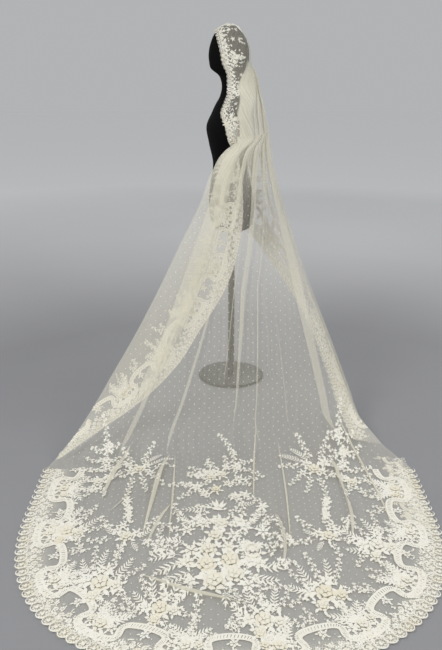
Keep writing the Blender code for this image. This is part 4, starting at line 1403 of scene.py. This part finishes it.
def lofted(name, rings, finish):
    """A closed smooth solid through rings of points, bottom to top."""
    sides = len(rings[0])
    count = len(rings)
    verts = [tuple(point) for ring_points in rings for point in ring_points]
    faces = [
        (i * sides + j, i * sides + (j + 1) % sides, (i + 1) * sides + (j + 1) % sides, (i + 1) * sides + j)
        for i in range(count - 1)
        for j in range(sides)
    ]
    verts += [tuple(np.mean(rings[0], axis=0)), tuple(np.mean(rings[-1], axis=0))]
    low, high = len(verts) - 2, len(verts) - 1
    faces += [(low, (j + 1) % sides, j) for j in range(sides)]
    last = (count - 1) * sides
    faces += [(high, last + j, last + (j + 1) % sides) for j in range(sides)]
    mesh = bpy.data.meshes.new(name)
    mesh.from_pydata(verts, [], faces)
    mesh.shade_smooth()
    mesh.set_sharp_from_angle(angle=math.radians(50))
    mesh.materials.append(finish)
    print(name, len(faces), "faces")
    return added(name, mesh)


def ring_of(z, front, back, half_width, sides=FORM_SIDES):
    turn = np.arange(sides) * 2 * math.pi / sides
    x = (front + back) / 2 + (back - front) / 2 * np.cos(turn)
    return np.stack([x, half_width * np.sin(turn), np.full(sides, z)], axis=-1)


black_cloth = Finish(
    "matt black jersey", Base_Color=(0.003, 0.003, 0.003, 1.0), Roughness=0.9, Specular_IOR_Level=0.12
)
black_cloth.bump(black_cloth.noise(420.0, black_cloth.place(), 3.0), 0.35, 0.0008)
form_z = np.unique(np.concatenate([np.linspace(0.800, 1.720, 170), np.linspace(1.720, 1.748, 22)]))
form_rings = [
    ring_of(z, *(float(table_value(FORM_LEVELS, FORM_COLUMNS, name, z)) for name in FORM_COLUMNS[1:]))
    for z in form_z
]
form_shell = lofted("form-shell", form_rings, black_cloth.material)

steel = Finish("black powder coat", Base_Color=(0.014, 0.014, 0.015, 1.0))
steel.feed("Roughness", steel.noise(60.0, steel.place()) * 0.25 + 0.32)
steel.bump(steel.noise(1500.0, steel.place()), 0.25, 0.0003)
# Profiles of the foot and the pole, each row: height, radius.
FOOT_PROFILE = (
    (0.0, 0.164), (0.0008, 0.168), (0.003, 0.170), (0.009, 0.170), (0.012, 0.1685), (0.014, 0.164),
)
POLE_PROFILE = ((0.0143, 0.0160), (0.0400, 0.0160), (0.7700, 0.0160), (0.7997, 0.0160))
POLE_SIDES = 48
stand_foot = lofted("stand-foot", [ring_of(z, -r, r, r) for z, r in FOOT_PROFILE], steel.material)
stand_rod = lofted("stand-rod", [ring_of(z, -r, r, r, POLE_SIDES) for z, r in POLE_PROFILE], steel.material)

# %% [markdown]
# ## The body
# Nothing here moves by itself, so every piece rides on the one body, and the imported parts it stands for are
# hidden.

# %% Each piece on the body
for piece, slot, nodes in (
    (veil_hood, "net", ("net-hood",)),
    (veil_fall, "net", ("net-fall",)),
    (veil_near, "net", ("net-near-flap",)),
    (veil_far, "net", ("net-far-flap",)),
    (veil_train, "net", ("net-train",)),
    (lace_hood, "lace", ("lace-brow",)),
    (lace_near, "lace", ("lace-near-edge",)),
    (lace_far, "lace", ("lace-far-edge",)),
    (lace_hem, "lace", ("lace-hem-near", "lace-hem-back", "lace-hem-far")),
    (lace_turned, "lace", ("lace-turn-under",)),
    (lace_middle, "lace", ("spray-back",)),
    (side_pieces[0], "lace", ("spray-near",)),
    (side_pieces[1], "lace", ("spray-far",)),
    (lace_low, "lace", ()),
    (woven_dots, "net", ()),
    (train_creases, "net", ()),
    (form_shell, "form", ("form-body",)),
    (stand_foot, "stand", ("stand-base",)),
    (stand_rod, "stand", ("stand-pole",)),
):
    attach(piece, "root")
    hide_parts(*nodes)
for kind in KINDS:
    bpy.data.objects.remove(bpy.data.objects[kind])
bpy.data.collections.remove(motif_box)

# %% [markdown]
# ## Floor, light and camera
# A studio floor, mid grey round the veil and paler with distance as a painted light falloff, one broad soft
# light from the front left, a weaker one from the right, and even light from all round. The camera stands
# behind the wearer's left side at head height and looks down.

# %% Floor
FLOOR_HALF = 16.0
FLOOR_Z = -0.0004
FLOOR_MIDDLE = (0.0, -0.9, 0.0)
# Floor colours of the painted light falloff: shaded round the veil, lit far off.
FLOOR_SHADE_NEAR = (0.27, 0.27, 0.28, 1.0)
FLOOR_LIGHT_FAR = (0.99, 0.99, 0.99, 1.0)
floor_finish = Finish("studio floor with painted light falloff", Roughness=0.9)
floor_away = floor_finish.node(
    "ShaderNodeVectorMath", {"operation": "DISTANCE"}, {0: floor_finish.place(), 1: FLOOR_MIDDLE}, "Value"
)
floor_cloud = floor_finish.noise(1.2, floor_finish.place()) * 0.06
# Painted light falloff: the floor is mid grey round the veil and grows near white with distance. A faint
# random cloud mottles it.
floor_light_falloff_and_mottle = 1.0 - floor_away.below(1.8, 7.0) + floor_cloud
floor_finish.feed("Base Color", floor_finish.mix(floor_light_falloff_and_mottle, FLOOR_SHADE_NEAR, FLOOR_LIGHT_FAR))
floor_mesh = bpy.data.meshes.new("floor")
floor_corners = ((-1, -1), (1, -1), (1, 1), (-1, 1))
floor_verts = [(x * FLOOR_HALF, y * FLOOR_HALF, FLOOR_Z) for x, y in floor_corners]
floor_mesh.from_pydata(floor_verts, [], [(0, 1, 2, 3)])
floor_mesh.materials.append(floor_finish.material)
floor = added("floor", floor_mesh)


# %% Lights
def soft_light(name, place, aim, size, power):
    data = bpy.data.lights.new(name, "AREA")
    data.size = size
    data.energy = power
    lamp = added(name, data)
    lamp.location = place
    lamp.rotation_euler = (Vector(aim) - Vector(place)).to_track_quat("-Z", "Y").to_euler()


soft_light("key", (-2.6, -3.6, 3.4), (0.0, -0.8, 0.5), 2.4, 95)
soft_light("fill", (3.2, -2.6, 2.8), (0.0, -0.9, 0.5), 2.8, 50)
soft_light("back", (0.8, 2.8, 3.2), (0.0, -0.5, 0.8), 2.0, 40)
world = bpy.data.worlds.new("studio")
bpy.context.scene.world = world
world.use_nodes = True
sky = world.node_tree.nodes["Background"].inputs
sky["Color"].default_value = (0.72, 0.73, 0.75, 1.0)
sky["Strength"].default_value = 0.62
bpy.context.scene.view_settings.view_transform = "Standard"
bpy.context.scene.cycles.transparent_max_bounces = 32

# %% Camera
FOCAL_PIXELS = 815
PHOTO_HEIGHT = 650
SENSOR = 36.0
CAMERA_PLACE = (-0.053, -4.0, 1.7)
CAMERA_DOWN = 19.5
camera_data = bpy.data.cameras.new("camera")
camera_data.sensor_width = SENSOR
camera_data.lens = SENSOR * FOCAL_PIXELS / PHOTO_HEIGHT
camera = added("camera", camera_data)
camera.location = CAMERA_PLACE
camera.rotation_euler = (math.radians(90 - CAMERA_DOWN), 0.0, 0.0)
bpy.context.scene.camera = camera
